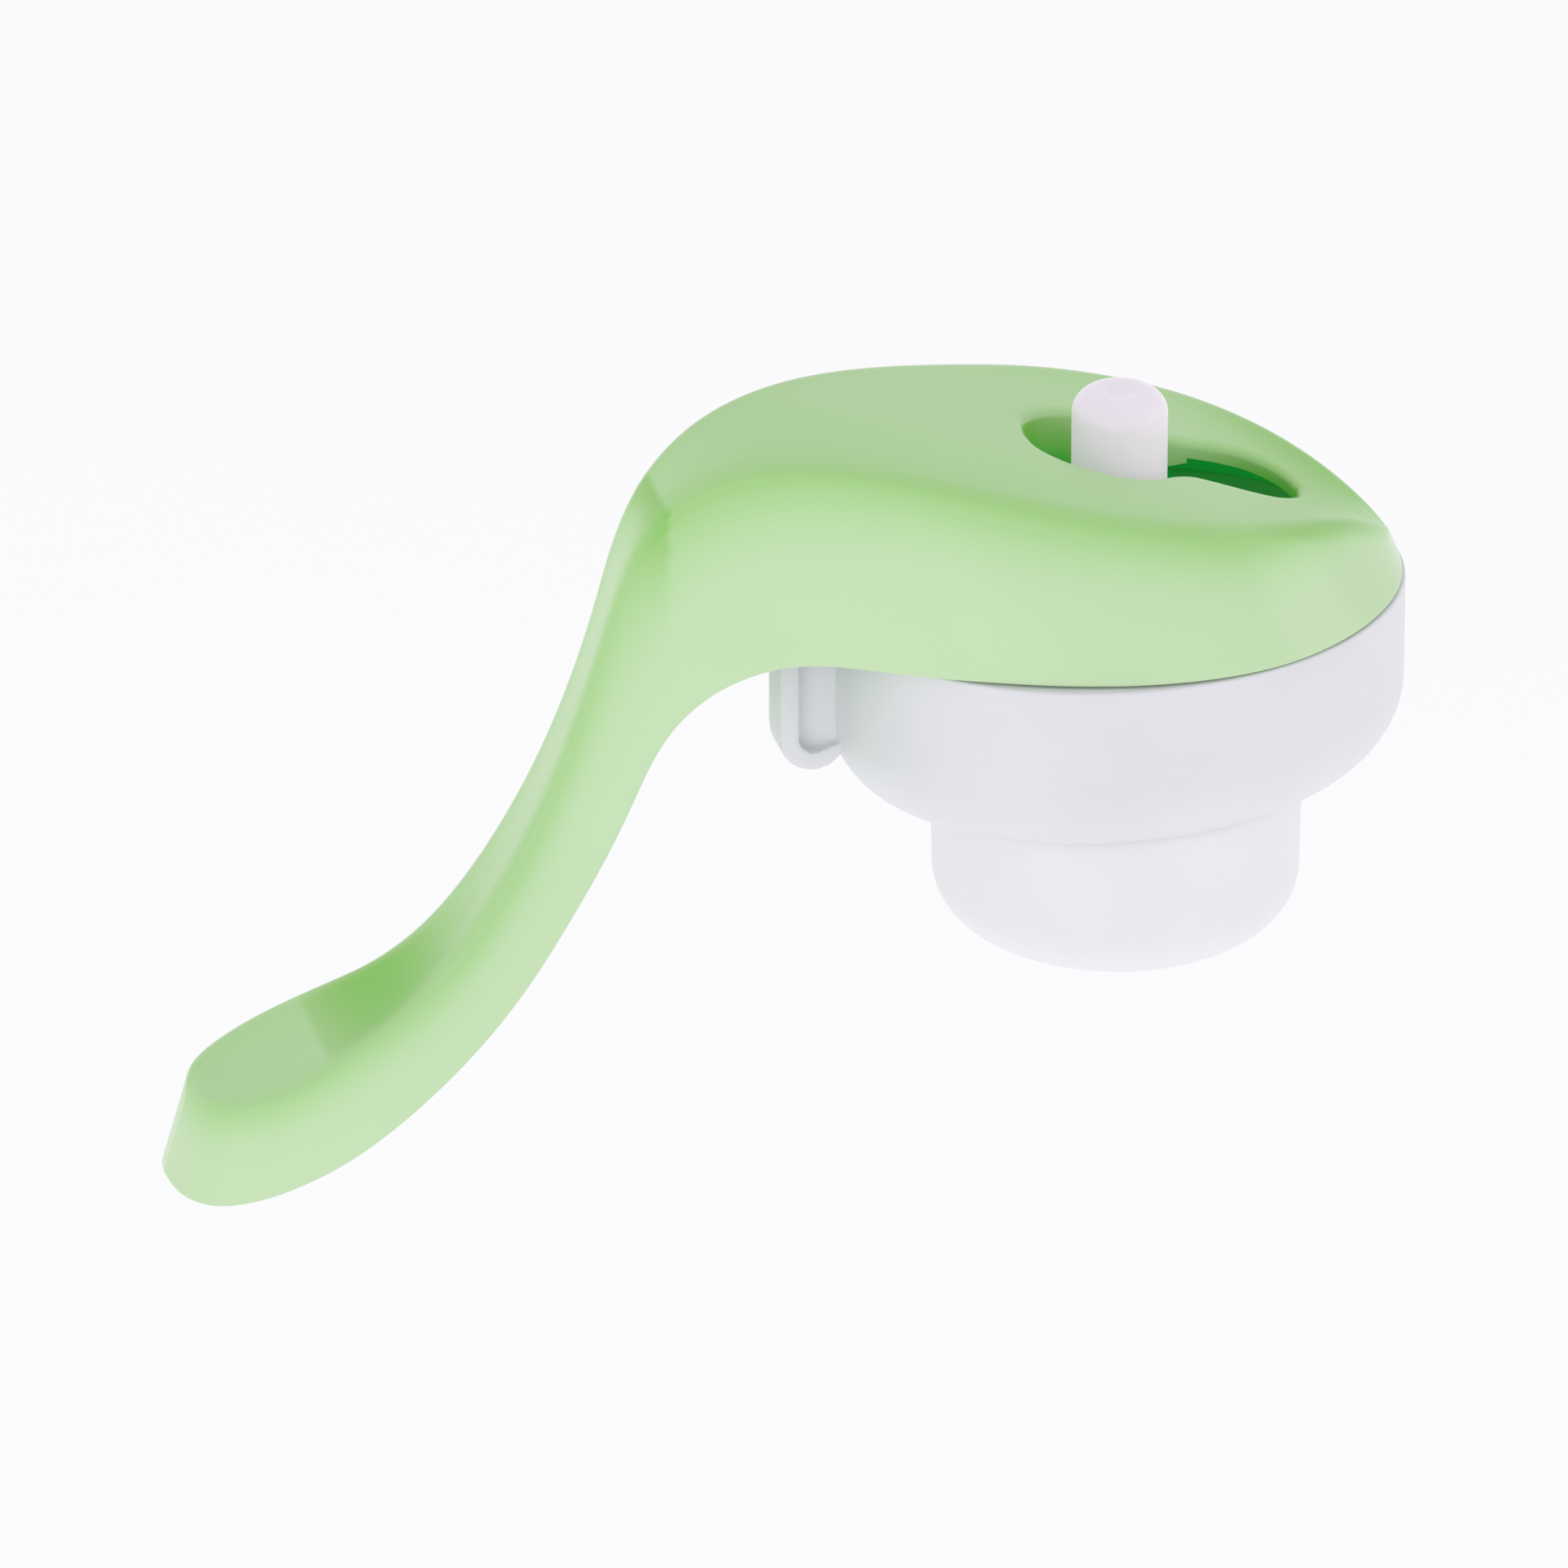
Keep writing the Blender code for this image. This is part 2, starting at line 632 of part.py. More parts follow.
def oval_tub(name, half_x, half_y, low, high, fillet, segments):
    """An oval block whose lower edge is rounded and leans towards the arm."""
    shape = bmesh.new()
    bmesh.ops.create_cone(shape, cap_ends=True, segments=SIDES_OVAL, radius1=1.0, radius2=1.0,
                          depth=1.0)
    for vertex in shape.verts:
        z = high if vertex.co.z > 0 else low
        vertex.co = (vertex.co.x * half_x * MM, vertex.co.y * half_y * MM, z * MM)
    lower = [e for e in shape.edges if all(abs(v.co.z - low * MM) < 1e-6 for v in e.verts)]
    bmesh.ops.bevel(shape, geom=lower, offset=fillet * MM, segments=segments, profile=0.5,
                    affect="EDGES")
    lean_top = (low + fillet) * MM
    for vertex in shape.verts:
        depth = max(lean_top - vertex.co.z, 0.0) / (fillet * MM)
        vertex.co.x -= HOUSING_LEAN * MM * depth**2
    obj = mesh_object(name, shape)
    obj.location.x = HOUSING_X * MM
    return obj


def bracket_outline(inset, inner):
    """The hinge bracket in side view, x and z, shrunk by inset on its free edges."""
    left = BRACKET_LEFT + inset
    low = BRACKET_LOW + inset
    corner = (BRACKET_RIGHT - BRACKET_LEFT) / 2 - inset
    centre = (BRACKET_LEFT + BRACKET_RIGHT) / 2
    points = arc(centre, low + corner, corner, 180, 300, 7)
    points += [(BRACKET_RIGHT + 1.5, low + corner), (BRACKET_RIGHT + 1.5, RIM_Z - 5.0)]
    if inner:
        shoulder = HINGE_Z - BRACKET_BOSS - 2.0
        points += [(HINGE_X + BRACKET_BOSS - inset, RIM_Z - 1.0), (HINGE_X + 2.0, shoulder),
                   (left, shoulder)]
    else:
        points += [(HINGE_X + BRACKET_BOSS, RIM_Z)]
        points += arc(HINGE_X, HINGE_Z, BRACKET_BOSS, 0, 150, 8)
        points += [(left, RIM_Z)]
    return points


def upright(obj, y):
    """Stand a flat outline up so that its y becomes z."""
    obj.rotation_euler = (math.pi / 2, 0, 0)
    obj.location.y = y * MM


def make_bracket():
    """Hinge bracket and lug: a thin web inside a strip, with a recess on each side."""
    bracket = outline_solid("join_bracket", bracket_outline(0.0, False), 2 * BRACKET_HALF)
    upright(bracket, 0.0)
    for side in (-1, 1):
        label = "near" if side < 0 else "far"
        pocket = outline_solid(f"cut_pocket_{label}", bracket_outline(BRACKET_STRIP, True), 6.0)
        upright(pocket, side * (BRACKET_WEB + 3.0))
        boolean(bracket, pocket, "DIFFERENCE")
    return bracket


def make_housing(mat):
    bowl = oval_tub("housing_bowl", HOUSING_HALF_X, HOUSING_HALF_Y, 0.0, RIM_Z - GAP,
                    HOUSING_FILLET, 6)
    boolean(bowl, make_bracket(), "UNION")
    hollow = oval_tub("cut_hollow", HOUSING_HALF_X - WALL, HOUSING_HALF_Y - WALL, FLOOR_Z,
                      RIM_Z + 5.0, HOLLOW_FILLET, 3)
    boolean(bowl, hollow, "DIFFERENCE")
    ledge = cylinder("cut_ledge", FLANGE_RADIUS + GAP, FLOOR_Z, RIM_Z - 8.0, sides=SIDES_LARGE)
    boolean(bowl, ledge, "DIFFERENCE")
    mouth = cylinder("cut_mouth", CUP_RADIUS + 0.4, -5.0, FLOOR_Z + 3.0, sides=SIDES_LARGE)
    boolean(bowl, mouth, "DIFFERENCE")
    for i, (x, y) in enumerate(GUIDE_SCREWS):
        post = cylinder(f"join_post_{i + 1}", POST_RADIUS, FLOOR_Z - 1.0, GUIDE_LOW_Z - GAP, x, y,
                        SIDES_SMALL)
        boolean(bowl, post, "UNION")
    for i, (x, y) in enumerate(GUIDE_SCREWS):
        hole = cylinder(f"cut_post_{i + 1}", HOLE_RADIUS, GUIDE_LOW_Z - 7.0, RIM_Z, x, y,
                        SIDES_SMALL)
        boolean(bowl, hole, "DIFFERENCE")
    for i, x in enumerate(CLAMP_SCREWS):
        hole = cylinder(f"cut_clamp_hole_{i + 1}", HOLE_RADIUS, FLOOR_Z - 3.6, FLOOR_Z + 4.0,
                        x, 0.0, SIDES_SMALL)
        boolean(bowl, hole, "DIFFERENCE")
    bore = cross_cylinder("cut_bracket_bore", PIN_RADIUS + RUNNING_CLEARANCE, -9.0, 9.0, HINGE_X,
                          HINGE_Z, SIDES_ROD)
    boolean(bowl, bore, "DIFFERENCE")
    return finish_part(bowl, mat)


def make_diaphragm(mat):
    """The silicone cup: flange on the ledge, wall through the mouth, flat floor."""
    low = -CUP_DROP
    foot = CUP_RADIUS - CUP_TAPER
    inner = foot - CUP_WALL
    inner_fillet = CUP_FILLET - CUP_WALL
    flange_low = FLOOR_Z + GAP
    flange_high = flange_low + FLANGE_THICK
    profile = [(0.0, low + CUP_FLOOR)]
    profile += arc(inner - inner_fillet, low + CUP_FLOOR + inner_fillet, inner_fillet, -90, 0, 4)
    profile += [(CUP_RADIUS - CUP_WALL, flange_high), (FLANGE_RADIUS, flange_high)]
    profile += [(FLANGE_RADIUS, flange_low), (CUP_RADIUS, flange_low)]
    profile += arc(foot - CUP_FILLET, low + CUP_FILLET, CUP_FILLET, 0, -90, 5)
    profile += [(0.0, low)]
    return finish_part(turned("diaphragm", profile, SIDES_LARGE), mat)


def make_clamp_ring(mat, steel):
    """Ring that holds the cup's flange down, with an ear and a screw at each end."""
    low = FLOOR_Z + GAP + FLANGE_THICK + 0.1
    high = low + CLAMP_THICK
    clamp = ring("clamp_ring", CLAMP_INNER, FLANGE_RADIUS - 0.1, low, high, SIDES_LARGE)
    for i, x in enumerate(CLAMP_SCREWS):
        inward = math.copysign(20.0, x)
        ear = box(f"join_clamp_ear_{i + 1}", (min(inward, x), -CLAMP_EAR, low + 0.01),
                  (max(inward, x), CLAMP_EAR, high - 0.01))
        boolean(clamp, ear, "UNION")
        tip = cylinder(f"join_clamp_tip_{i + 1}", CLAMP_EAR, low + 0.02, high - 0.02, x, 0.0,
                       SIDES_SMALL)
        boolean(clamp, tip, "UNION")
    for i, x in enumerate(CLAMP_SCREWS):
        hole = cylinder(f"cut_clamp_tip_{i + 1}", HOLE_RADIUS, low - 2, high + 3, x, 0.0,
                        SIDES_SMALL)
        boolean(clamp, hole, "DIFFERENCE")
        screw(f"clamp_screw_{i + 1}", x, 0.0, high + 0.1, 5.0, steel, downwards=True)
    return finish_part(clamp, mat)


def make_guide_plate(mat):
    """Oval plate across the housing with a tube that holds the stem upright."""
    plate = cylinder("guide_plate", 1.0, GUIDE_LOW_Z, GUIDE_TOP_Z, sides=SIDES_OVAL)
    for vertex in plate.data.vertices:
        vertex.co.x *= HOUSING_HALF_X - WALL - GAP
        vertex.co.y *= HOUSING_HALF_Y - WALL - GAP
    plate.location.x = HOUSING_X * MM
    tube = cylinder("join_guide_tube", TUBE_RADIUS, TUBE_LOW_Z, TUBE_HIGH_Z, sides=SIDES_ROD)
    boolean(plate, tube, "UNION")
    bore = cylinder("cut_guide_bore", TUBE_BORE, TUBE_LOW_Z - 3, TUBE_HIGH_Z + 3,
                    sides=SIDES_ROD)
    boolean(plate, bore, "DIFFERENCE")
    for i, (x, y) in enumerate(GUIDE_SCREWS):
        hole = cylinder(f"cut_guide_hole_{i + 1}", HOLE_RADIUS, GUIDE_LOW_Z - 3, GUIDE_TOP_Z + 3,
                        x, y, SIDES_SMALL)
        boolean(plate, hole, "DIFFERENCE")
    return finish_part(plate, mat)


def make_guide_screws(steel):
    for i, (x, y) in enumerate(GUIDE_SCREWS):
        screw(f"guide_screw_{i + 1}", x, y, GUIDE_TOP_Z + 0.1, 7.0, steel, downwards=True)


def make_guide_bush(mat):
    bore = ROD_RADIUS + RUNNING_CLEARANCE
    collar_low = TUBE_HIGH_Z + 0.15
    collar_high = collar_low + 1.0
    profile = [
        (bore, collar_high), (BUSH_COLLAR, collar_high), (BUSH_COLLAR, collar_low),
        (BUSH_RADIUS, collar_low), (BUSH_RADIUS, TUBE_LOW_Z), (bore, TUBE_LOW_Z),
    ]
    return finish_part(turned("guide_bush", profile, SIDES_ROD, closed=True), mat)


# ----------------------------------------------------------- stem and spring


def make_stem_rod(mat, pivot):
    low = DISC_TOP_Z + 0.1
    high = CAP_TOP_Z - CAP_SOCKET - GAP
    foot = DISC_TOP_Z - SPIGOT_LENGTH
    profile = [
        (0.0, high), (SPIGOT_RADIUS, high), (SPIGOT_RADIUS, SHOULDER_Z - GAP),
        (ROD_RADIUS, SHOULDER_Z - GAP), (ROD_RADIUS, low), (SPIGOT_RADIUS, low),
        (SPIGOT_RADIUS, foot), (0.0, foot),
    ]
    return finish_part(turned("stem_rod", profile, SIDES_ROD), mat, pivot)


def make_stem_cap(mat, pivot):
    """Round white knob on top of the rod, rounded at its edge with a shallow dimple."""
    bore = SPIGOT_RADIUS + SPIGOT_CLEARANCE
    profile = [(0.0, CAP_TOP_Z - 0.9), (1.1, CAP_TOP_Z - 0.7), (1.8, CAP_TOP_Z - 0.1)]
    profile += arc(CAP_RADIUS - CAP_EDGE, CAP_TOP_Z - CAP_EDGE, CAP_EDGE, 90, 0, 4)
    profile += [
        (CAP_RADIUS, SHOULDER_Z), (bore, SHOULDER_Z), (bore, CAP_TOP_Z - CAP_SOCKET),
        (0.0, CAP_TOP_Z - CAP_SOCKET),
    ]
    return finish_part(turned("stem_cap", profile, SIDES_ROD), mat, pivot)


def make_piston(mat, steel, pivot):
    low = DISC_TOP_Z - DISC_THICK
    bore = SPIGOT_RADIUS + SPIGOT_CLEARANCE
    disc = ring("piston_disc", bore, CUP_RADIUS - CUP_WALL - 2.5, low, DISC_TOP_Z, SIDES_LARGE)
    finish_part(disc, mat, pivot)
    clip = ring("piston_clip", SPIGOT_RADIUS + RUNNING_CLEARANCE, 4.0, low - 0.75, low - 0.1,
                SIDES_ROD)
    finish_part(clip, steel, pivot)
    seat_low = DISC_TOP_Z + 0.1
    seat = ring("spring_seat_lower", ROD_RADIUS + 0.2, SEAT_RADIUS, seat_low,
                seat_low + SEAT_THICK, SIDES_ROD)
    finish_part(seat, steel, pivot)


def make_return_spring(mat):
    """Coil between the guide plate and the piston, with closed end turns."""
    high = GUIDE_LOW_Z - 0.8 - SPRING_WIRE - 0.1
    low = DISC_TOP_Z + 0.8 + SPRING_WIRE + 0.1
    curve = bpy.data.curves.new("return_spring", "CURVE")
    curve.dimensions = "3D"
    curve.bevel_depth = SPRING_WIRE * MM
    curve.bevel_resolution = 2
    curve.use_fill_caps = True
    count = SPRING_TURNS * SPRING_POINTS
    spline = curve.splines.new("POLY")
    spline.points.add(count)
    for i, point in enumerate(spline.points):
        turn = i / SPRING_POINTS
        rise = min(max((turn - 0.5) / (SPRING_TURNS - 1.0), 0.0), 1.0)
        closed = 0.5 * (min(turn, 1.0) + max(turn - SPRING_TURNS + 1.0, 0.0))
        z = low + closed + (high - low - 1.0) * rise
        angle = 2 * math.pi * turn
        point.co = (SPRING_RADIUS * math.cos(angle) * MM, SPRING_RADIUS * math.sin(angle) * MM,
                    z * MM, 1.0)
    obj = bpy.data.objects.new("return_spring", curve)
    bpy.context.scene.collection.objects.link(obj)
    move_to(obj, PARTS)
    curve.materials.append(mat)
    seat_high = GUIDE_LOW_Z - 0.1
    seat = ring("spring_seat_upper", TUBE_RADIUS + GAP, SEAT_RADIUS, seat_high - SEAT_THICK,
                seat_high, SIDES_ROD)
    finish_part(seat, mat)


def pivot_empty(name, location):
    empty = bpy.data.objects.new(name, None)
    empty.location = [v * MM for v in location]
    PARTS.objects.link(empty)
    return empty


def main():
    green = material("green_gloss_plastic", GREEN, 0.22)
    deep_green = material("green_frame_plastic", GREEN_DEEP, 0.35)
    white = material("white_housing_plastic", WHITE, 0.35)
    silicone = material("milky_silicone", SILICONE, 0.45)
    acetal = material("white_acetal", ACETAL, 0.3)
    steel = material("stainless_steel", STEEL, 0.3, 1.0)

    lever_pivot = pivot_empty("lever_pivot", (HINGE_X, 0.0, HINGE_Z))
    stem_axis = pivot_empty("stem_axis", (0.0, 0.0, SHOULDER_Z))

    make_lever_shell(green, lever_pivot)
    make_lever_frame(deep_green, lever_pivot)
    make_frame_screws(steel, lever_pivot)
    make_hinge(steel, acetal, lever_pivot)
    make_arm_cover(green, lever_pivot)

    make_housing(white)
    make_diaphragm(silicone)
    make_clamp_ring(acetal, steel)
    make_guide_plate(deep_green)
    make_guide_screws(steel)
    make_guide_bush(acetal)

    make_stem_rod(acetal, stem_axis)
    make_stem_cap(white, stem_axis)
    make_piston(acetal, steel, stem_axis)
    make_return_spring(steel)


main()
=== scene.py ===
"""Looks of the hand lever pump head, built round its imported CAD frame.

Every visible piece is a finer mesh than its CAD node: the lever body and the housing
are rebuilt densely with rounded edges, and the round pieces are turned with rounded
corners.  Sizes are in millimetres in the frame's own axes: +Z up the stem, +X towards
the nose of the hood, and z = 0 in the seat plane under the housing.
"""

import math

import bmesh
import bpy
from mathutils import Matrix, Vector
from mathutils.bvhtree import BVHTree
from mathutils.kdtree import KDTree


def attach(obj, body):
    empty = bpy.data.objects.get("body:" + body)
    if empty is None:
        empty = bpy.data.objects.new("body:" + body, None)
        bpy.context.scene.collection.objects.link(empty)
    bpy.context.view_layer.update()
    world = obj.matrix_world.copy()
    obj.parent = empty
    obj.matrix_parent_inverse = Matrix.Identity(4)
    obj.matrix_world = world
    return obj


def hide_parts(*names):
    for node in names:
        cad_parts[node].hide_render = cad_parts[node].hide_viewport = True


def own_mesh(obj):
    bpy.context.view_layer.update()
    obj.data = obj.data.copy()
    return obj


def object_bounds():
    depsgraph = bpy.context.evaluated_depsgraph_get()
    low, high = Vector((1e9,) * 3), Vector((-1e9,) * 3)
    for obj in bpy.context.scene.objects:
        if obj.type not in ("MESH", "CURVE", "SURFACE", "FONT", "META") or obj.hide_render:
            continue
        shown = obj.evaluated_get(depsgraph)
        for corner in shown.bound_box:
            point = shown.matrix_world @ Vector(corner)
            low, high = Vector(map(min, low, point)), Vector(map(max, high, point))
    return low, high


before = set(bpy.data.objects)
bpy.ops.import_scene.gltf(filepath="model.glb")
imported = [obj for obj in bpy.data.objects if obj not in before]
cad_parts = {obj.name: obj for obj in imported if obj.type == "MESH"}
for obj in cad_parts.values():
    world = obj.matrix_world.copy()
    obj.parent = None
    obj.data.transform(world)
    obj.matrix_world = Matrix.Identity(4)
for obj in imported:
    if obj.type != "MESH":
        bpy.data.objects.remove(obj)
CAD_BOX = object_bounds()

MM = 0.001

# Driving heights and places, as in the CAD.
GAP = 0.3                     # between neighbouring mouldings
PLAY = 0.1                    # between pieces that are stacked or screwed together
RIM_Z = 22.1                  # where the hood meets the housing
HOUSING_X = -0.3
HOUSING_HALF_X = 31.3
HOUSING_HALF_Y = 25.3
HOUSING_FILLET = 10.0
HOUSING_LEAN = 0.8
HOUSING_TOP = RIM_Z - GAP
HOUSING_HOLLOW_FILLET = 5.0
WALL = 2.0
FLOOR_Z = 5.1
CUP_RADIUS = 20.0
MOUTH_RADIUS = CUP_RADIUS + 0.4
CUP_TAPER = 0.3
CUP_DROP = 17.0
CUP_WALL = 1.5
CUP_FLOOR = 1.8
CUP_FILLET = 5.6
FLANGE_RADIUS = 22.0
FLANGE_LOW = FLOOR_Z + GAP
FLANGE_HIGH = FLANGE_LOW + 1.5
CLAMP_HIGH = FLANGE_HIGH + PLAY + 2.0
CLAMP_SCREWS = [-25.0, 23.8]
HINGE_X = -35.0
HINGE_Z = RIM_Z + 11.0
ROD_RADIUS = 3.0
RUNNING_FIT = 0.06            # round the stem rod and the hinge pin
CAP_RADIUS = 5.1
CAP_DOME = 2.6
DIMPLE_RADIUS = 2.2
CAP_TOP_Z = RIM_Z + 22.5
SHOULDER_Z = RIM_Z + 10.3
FORK_TOP_Z = RIM_Z + 8.0
FORK_THICK = 2.4
GUIDE_TOP_Z = RIM_Z - 2.0
GUIDE_LOW_Z = GUIDE_TOP_Z - 2.0
GUIDE_BOSS_RADIUS = 2.8
GUIDE_SCREWS = [(-25.2, -7.2), (-25.2, 7.2), (24.0, -7.2), (24.0, 7.2)]
TUBE_LOW_Z = RIM_Z - 14.0
TUBE_HIGH_Z = RIM_Z + 0.6
DISC_TOP_Z = RIM_Z - 33.8
DISC_RADIUS = 16.0
DISC_THICK = 2.0
CLIP_RADIUS = 4.0
SPIGOT_RADIUS = 2.2
SPIGOT_PLAY = 0.25
PIN_RADIUS = 1.6
PIN_BORE = 1.7
PIN_HALF = 7.6
EAR_OUTER = 5.8
BRACKET_HALF = 2.5
BRACKET_LEFT = -37.8
BRACKET_RIGHT = -30.1
BRACKET_LOW = 5.0
BRACKET_BOSS = 4.2
BRACKET_STRIP = 2.1
BRACKET_WEB = 0.8
FRAME_SCREWS = [(-22.0, -6.5), (-22.0, 6.5), (2.0, -11.5), (2.0, 11.5)]
FRAME_BOSS_TOPS = [19.4, 19.4, 13.5, 13.5]
BOSS_RADIUS = 2.7
HOLE_RADIUS = 1.45
SHANK_RADIUS = 1.2
HEAD_RADIUS = 2.2
HEAD_HEIGHT = 1.2
THREAD_PITCH = 0.5
SEAT_RADIUS = 8.8
SEAT_DEPTH = 0.8              # to a spring seat's far side, from the face it rests on
SPRING_RADIUS = 7.3
SPRING_WIRE = 0.45
SPRING_TURNS = 8

# The lever from the tip of the paddle to the nose: x, z and half width of the
# middle of the top edge, then of the lower edge.  Heights count from the rim.
LEVER_SECTIONS = [
    (-102.1, -47.0, 0.0, -105.1, -57.0, 0.0),
    (-101.6, -46.9, 2.9, -104.6, -57.5, 3.4),
    (-100.0, -46.5, 5.5, -103.0, -57.8, 6.1),
    (-97.0, -45.7, 7.5, -99.9, -57.5, 8.5),
    (-92.3, -44.0, 8.6, -93.6, -56.2, 9.4),
    (-86.5, -41.2, 7.7, -85.0, -53.3, 8.2),
    (-80.2, -37.9, 6.1, -75.9, -46.8, 7.4),
    (-74.5, -33.0, 5.0, -68.0, -38.7, 6.8),
    (-69.0, -25.6, 4.1, -61.7, -29.2, 6.5),
    (-63.8, -16.1, 3.3, -56.4, -19.6, 6.5),
    (-59.9, -6.6, 2.8, -52.2, -10.0, 6.7),
    (-57.0, 2.4, 2.6, -47.8, -4.6, 7.7),
    (-54.6, 10.3, 3.2, -43.2, -1.6, 9.1),
    (-51.0, 16.8, 4.4, -38.6, -0.2, 10.4),
    (-44.6, 21.2, 6.9, -33.6, 0.0, 12.2),
    (-36.0, 22.6, 10.1, -27.3, 0.0, 15.9),
    (-26.0, 21.6, 13.6, -20.0, 0.0, 19.4),
    (-14.0, 18.9, 17.2, -11.0, 0.0, 22.9),
    (-2.0, 16.1, 19.2, -0.5, 0.0, 25.0),
    (9.5, 13.1, 17.6, 10.5, 0.0, 24.2),
    (18.0, 10.4, 13.1, 19.6, 0.0, 19.7),
    (24.0, 7.4, 8.0, 26.2, 0.0, 13.3),
    (28.2, 4.0, 3.9, 29.8, 0.0, 6.6),
    (30.0, 1.9, 0.0, 30.8, 0.0, 0.0),
]
# Height of the middle of the top over its edges at each of those cross-sections: a
# scoop along the arm, a crown over the hinge and a dish round the nose end of the hood.
CROWNS = [
    0.0, -0.3, -0.6, -0.7, -0.7, -0.7, -0.7, -0.6, -0.4, -0.2, -0.1, -0.1,
    -0.1, 0.0, 0.3, 0.8, 0.9, 0.7, 0.0, -0.6, -1.55, -1.25, -0.7, 0.0,
]
EDGE_ROLL = 2.2
ROLL_RISE = 0.18
KEYHOLE = [
    (-10.3, 0.0), (-9.6, 3.3), (-7.4, 5.7), (-4.4, 7.1), (-1.2, 7.5), (1.8, 6.8), (4.2, 5.3),
    (6.6, 4.4), (9.4, 4.7), (12.6, 5.1), (15.8, 4.8), (18.5, 2.9), (19.6, 0.0),
]
COVER_LAST = 10               # the arm cover runs from the tip to this cross-section
COVER_GAP = 0.35
COVER_DEPTHS = (0.7, 2.5)
COLLAR_LOW = RIM_Z + 10.4     # underside of the collar that deepens the keyhole round the stem
COLLAR_WALL = 1.6
COLLAR_COVER = 1.0
COLLAR_HEIGHT = 12.0          # more than reaches the hood, which trims it
COLLAR_POINTS = 8             # it follows the keyhole from the arm side to its waist
COLLAR_END = 8.8
RIB_WALL = 1.0                # two curved ribs centre the hood between the housing's sides
RIB_CLEARANCE = 0.35
RIB_DROP = 1.2
RIB_RISE = 1.6
RIB_SPAN = (-10.0, 24.0)
CLEAR = 40.0                  # a reach beyond the hood and the housing, for tools

# Fineness of the visual meshes.
LEVER_STEPS = 8
TOP_POINTS = 8
ROLL_POINTS = 8
SIDE_POINTS = 14
RIM_POINTS = 4
RIM_EDGE = 0.3                # rounding of both edges of the lever's and the housing's rims
FAIRING_ROUNDS = 12
ROUND_SIDES = 128
SMALL_SIDES = 64
TIP_ROLL = 1.6                # rounding of the top edge at the very tip of the paddle
LIP_RADIUS = 1.1
LIP_STEPS = 6
MERGE = 0.000002              # points this near each other, in metres, are one
FINE_VOXEL = 0.3              # grid of the pieces that are rebuilt with softened edges
TOOL_SIDES = 48
FILLET_STEPS = 16
CUP_WALL_STEPS = 12           # rings on the cup's wall
SPRING_STEPS = 40             # points to each turn of the coil


# ---- mesh tools ----


def placed(name, data):
    """A new object with this data, linked to the scene."""
    obj = bpy.data.objects.new(name, data)
    bpy.context.scene.collection.objects.link(obj)
    return obj


def discard(obj):
    """Take a tool or a guide out of the file again."""
    bpy.data.objects.remove(obj, do_unlink=True)


def object_from(shape, name):
    """Turn a bmesh into an object in the scene."""
    bmesh.ops.recalc_face_normals(shape, faces=shape.faces)
    mesh = bpy.data.meshes.new(name)
    shape.to_mesh(mesh)
    shape.free()
    return placed(name, mesh)


def final_mesh(obj):
    """The mesh that the object's curve or modifiers come to."""
    evaluated = obj.evaluated_get(bpy.context.evaluated_depsgraph_get())
    return bpy.data.meshes.new_from_object(evaluated)


def settle(obj):
    """Apply the object's modifiers to its mesh."""
    bpy.context.view_layer.update()
    mesh = final_mesh(obj)
    obj.modifiers.clear()
    obj.data = mesh
    return obj


def combine(obj, tool, operation):
    """Join a tool to the object, or cut it out of it, and remove the tool."""
    step = obj.modifiers.new("combine", "BOOLEAN")
    step.operation = operation
    step.solver = "MANIFOLD"
    step.object = tool
    settle(obj)
    discard(tool)
    return obj


def remesh(obj, rounds):
    """Rebuild the surface on an even grid and smooth it, which softens every edge."""
    grid = obj.modifiers.new("grid", "REMESH")
    grid.mode = "VOXEL"
    grid.voxel_size = FINE_VOXEL * MM
    smooth = obj.modifiers.new("smooth", "SMOOTH")
    smooth.factor = 0.5
    smooth.iterations = rounds
    return settle(obj)


def smooth_path(keys, steps):
    """Catmull-Rom curve through the rows of keys, with a number of steps to each span."""
    rows = [Vector(key) for key in keys]
    padded = [rows[0] * 2 - rows[1]] + rows + [rows[-1] * 2 - rows[-2]]
    made = []
    for i in range(len(rows) - 1):
        a, b, c, d = padded[i:i + 4]
        for k in range(steps):
            t = k / steps
            made.append(
                0.5 * (2 * b + (c - a) * t + (2 * a - 5 * b + 4 * c - d) * t**2
                       + (3 * b - a - 3 * c + d) * t**3)
            )
    made.append(rows[-1])
    return made


def curve_through(start, corner, end, count):
    """Points of a rounded corner, without its first one."""
    made = []
    for k in range(1, count + 1):
        t = k / count
        made.append(start * (1 - t) ** 2 + corner * 2 * t * (1 - t) + end * t**2)
    return made


def rounded(corners, closed=False, steps=6):
    """Points of an outline of (x, y, radius) corners, each corner rounded off."""
    count = len(corners)
    points = []
    for i, (x, y, radius) in enumerate(corners):
        here = Vector((x, y))
        if radius == 0 or (not closed and i in (0, count - 1)):
            points.append((x, y))
            continue
        before = Vector(corners[i - 1][:2]) - here
        after = Vector(corners[(i + 1) % count][:2]) - here
        reach = radius / math.tan(before.angle(after) / 2)
        reach = min(reach, 0.49 * before.length, 0.49 * after.length)
        start = here + before.normalized() * reach
        end = here + after.normalized() * reach
        corner = [start] + curve_through(start, here, end, steps)
        points += [(p.x, p.y) for p in corner]
    return points


def bridge(shape, rings):
    """Quads between neighbouring rings of vertices."""
    count = len(rings[0])
    for first, second in zip(rings, rings[1:]):
        for k in range(count):
            after = (k + 1) % count
            shape.faces.new((first[k], first[after], second[after], second[k]))


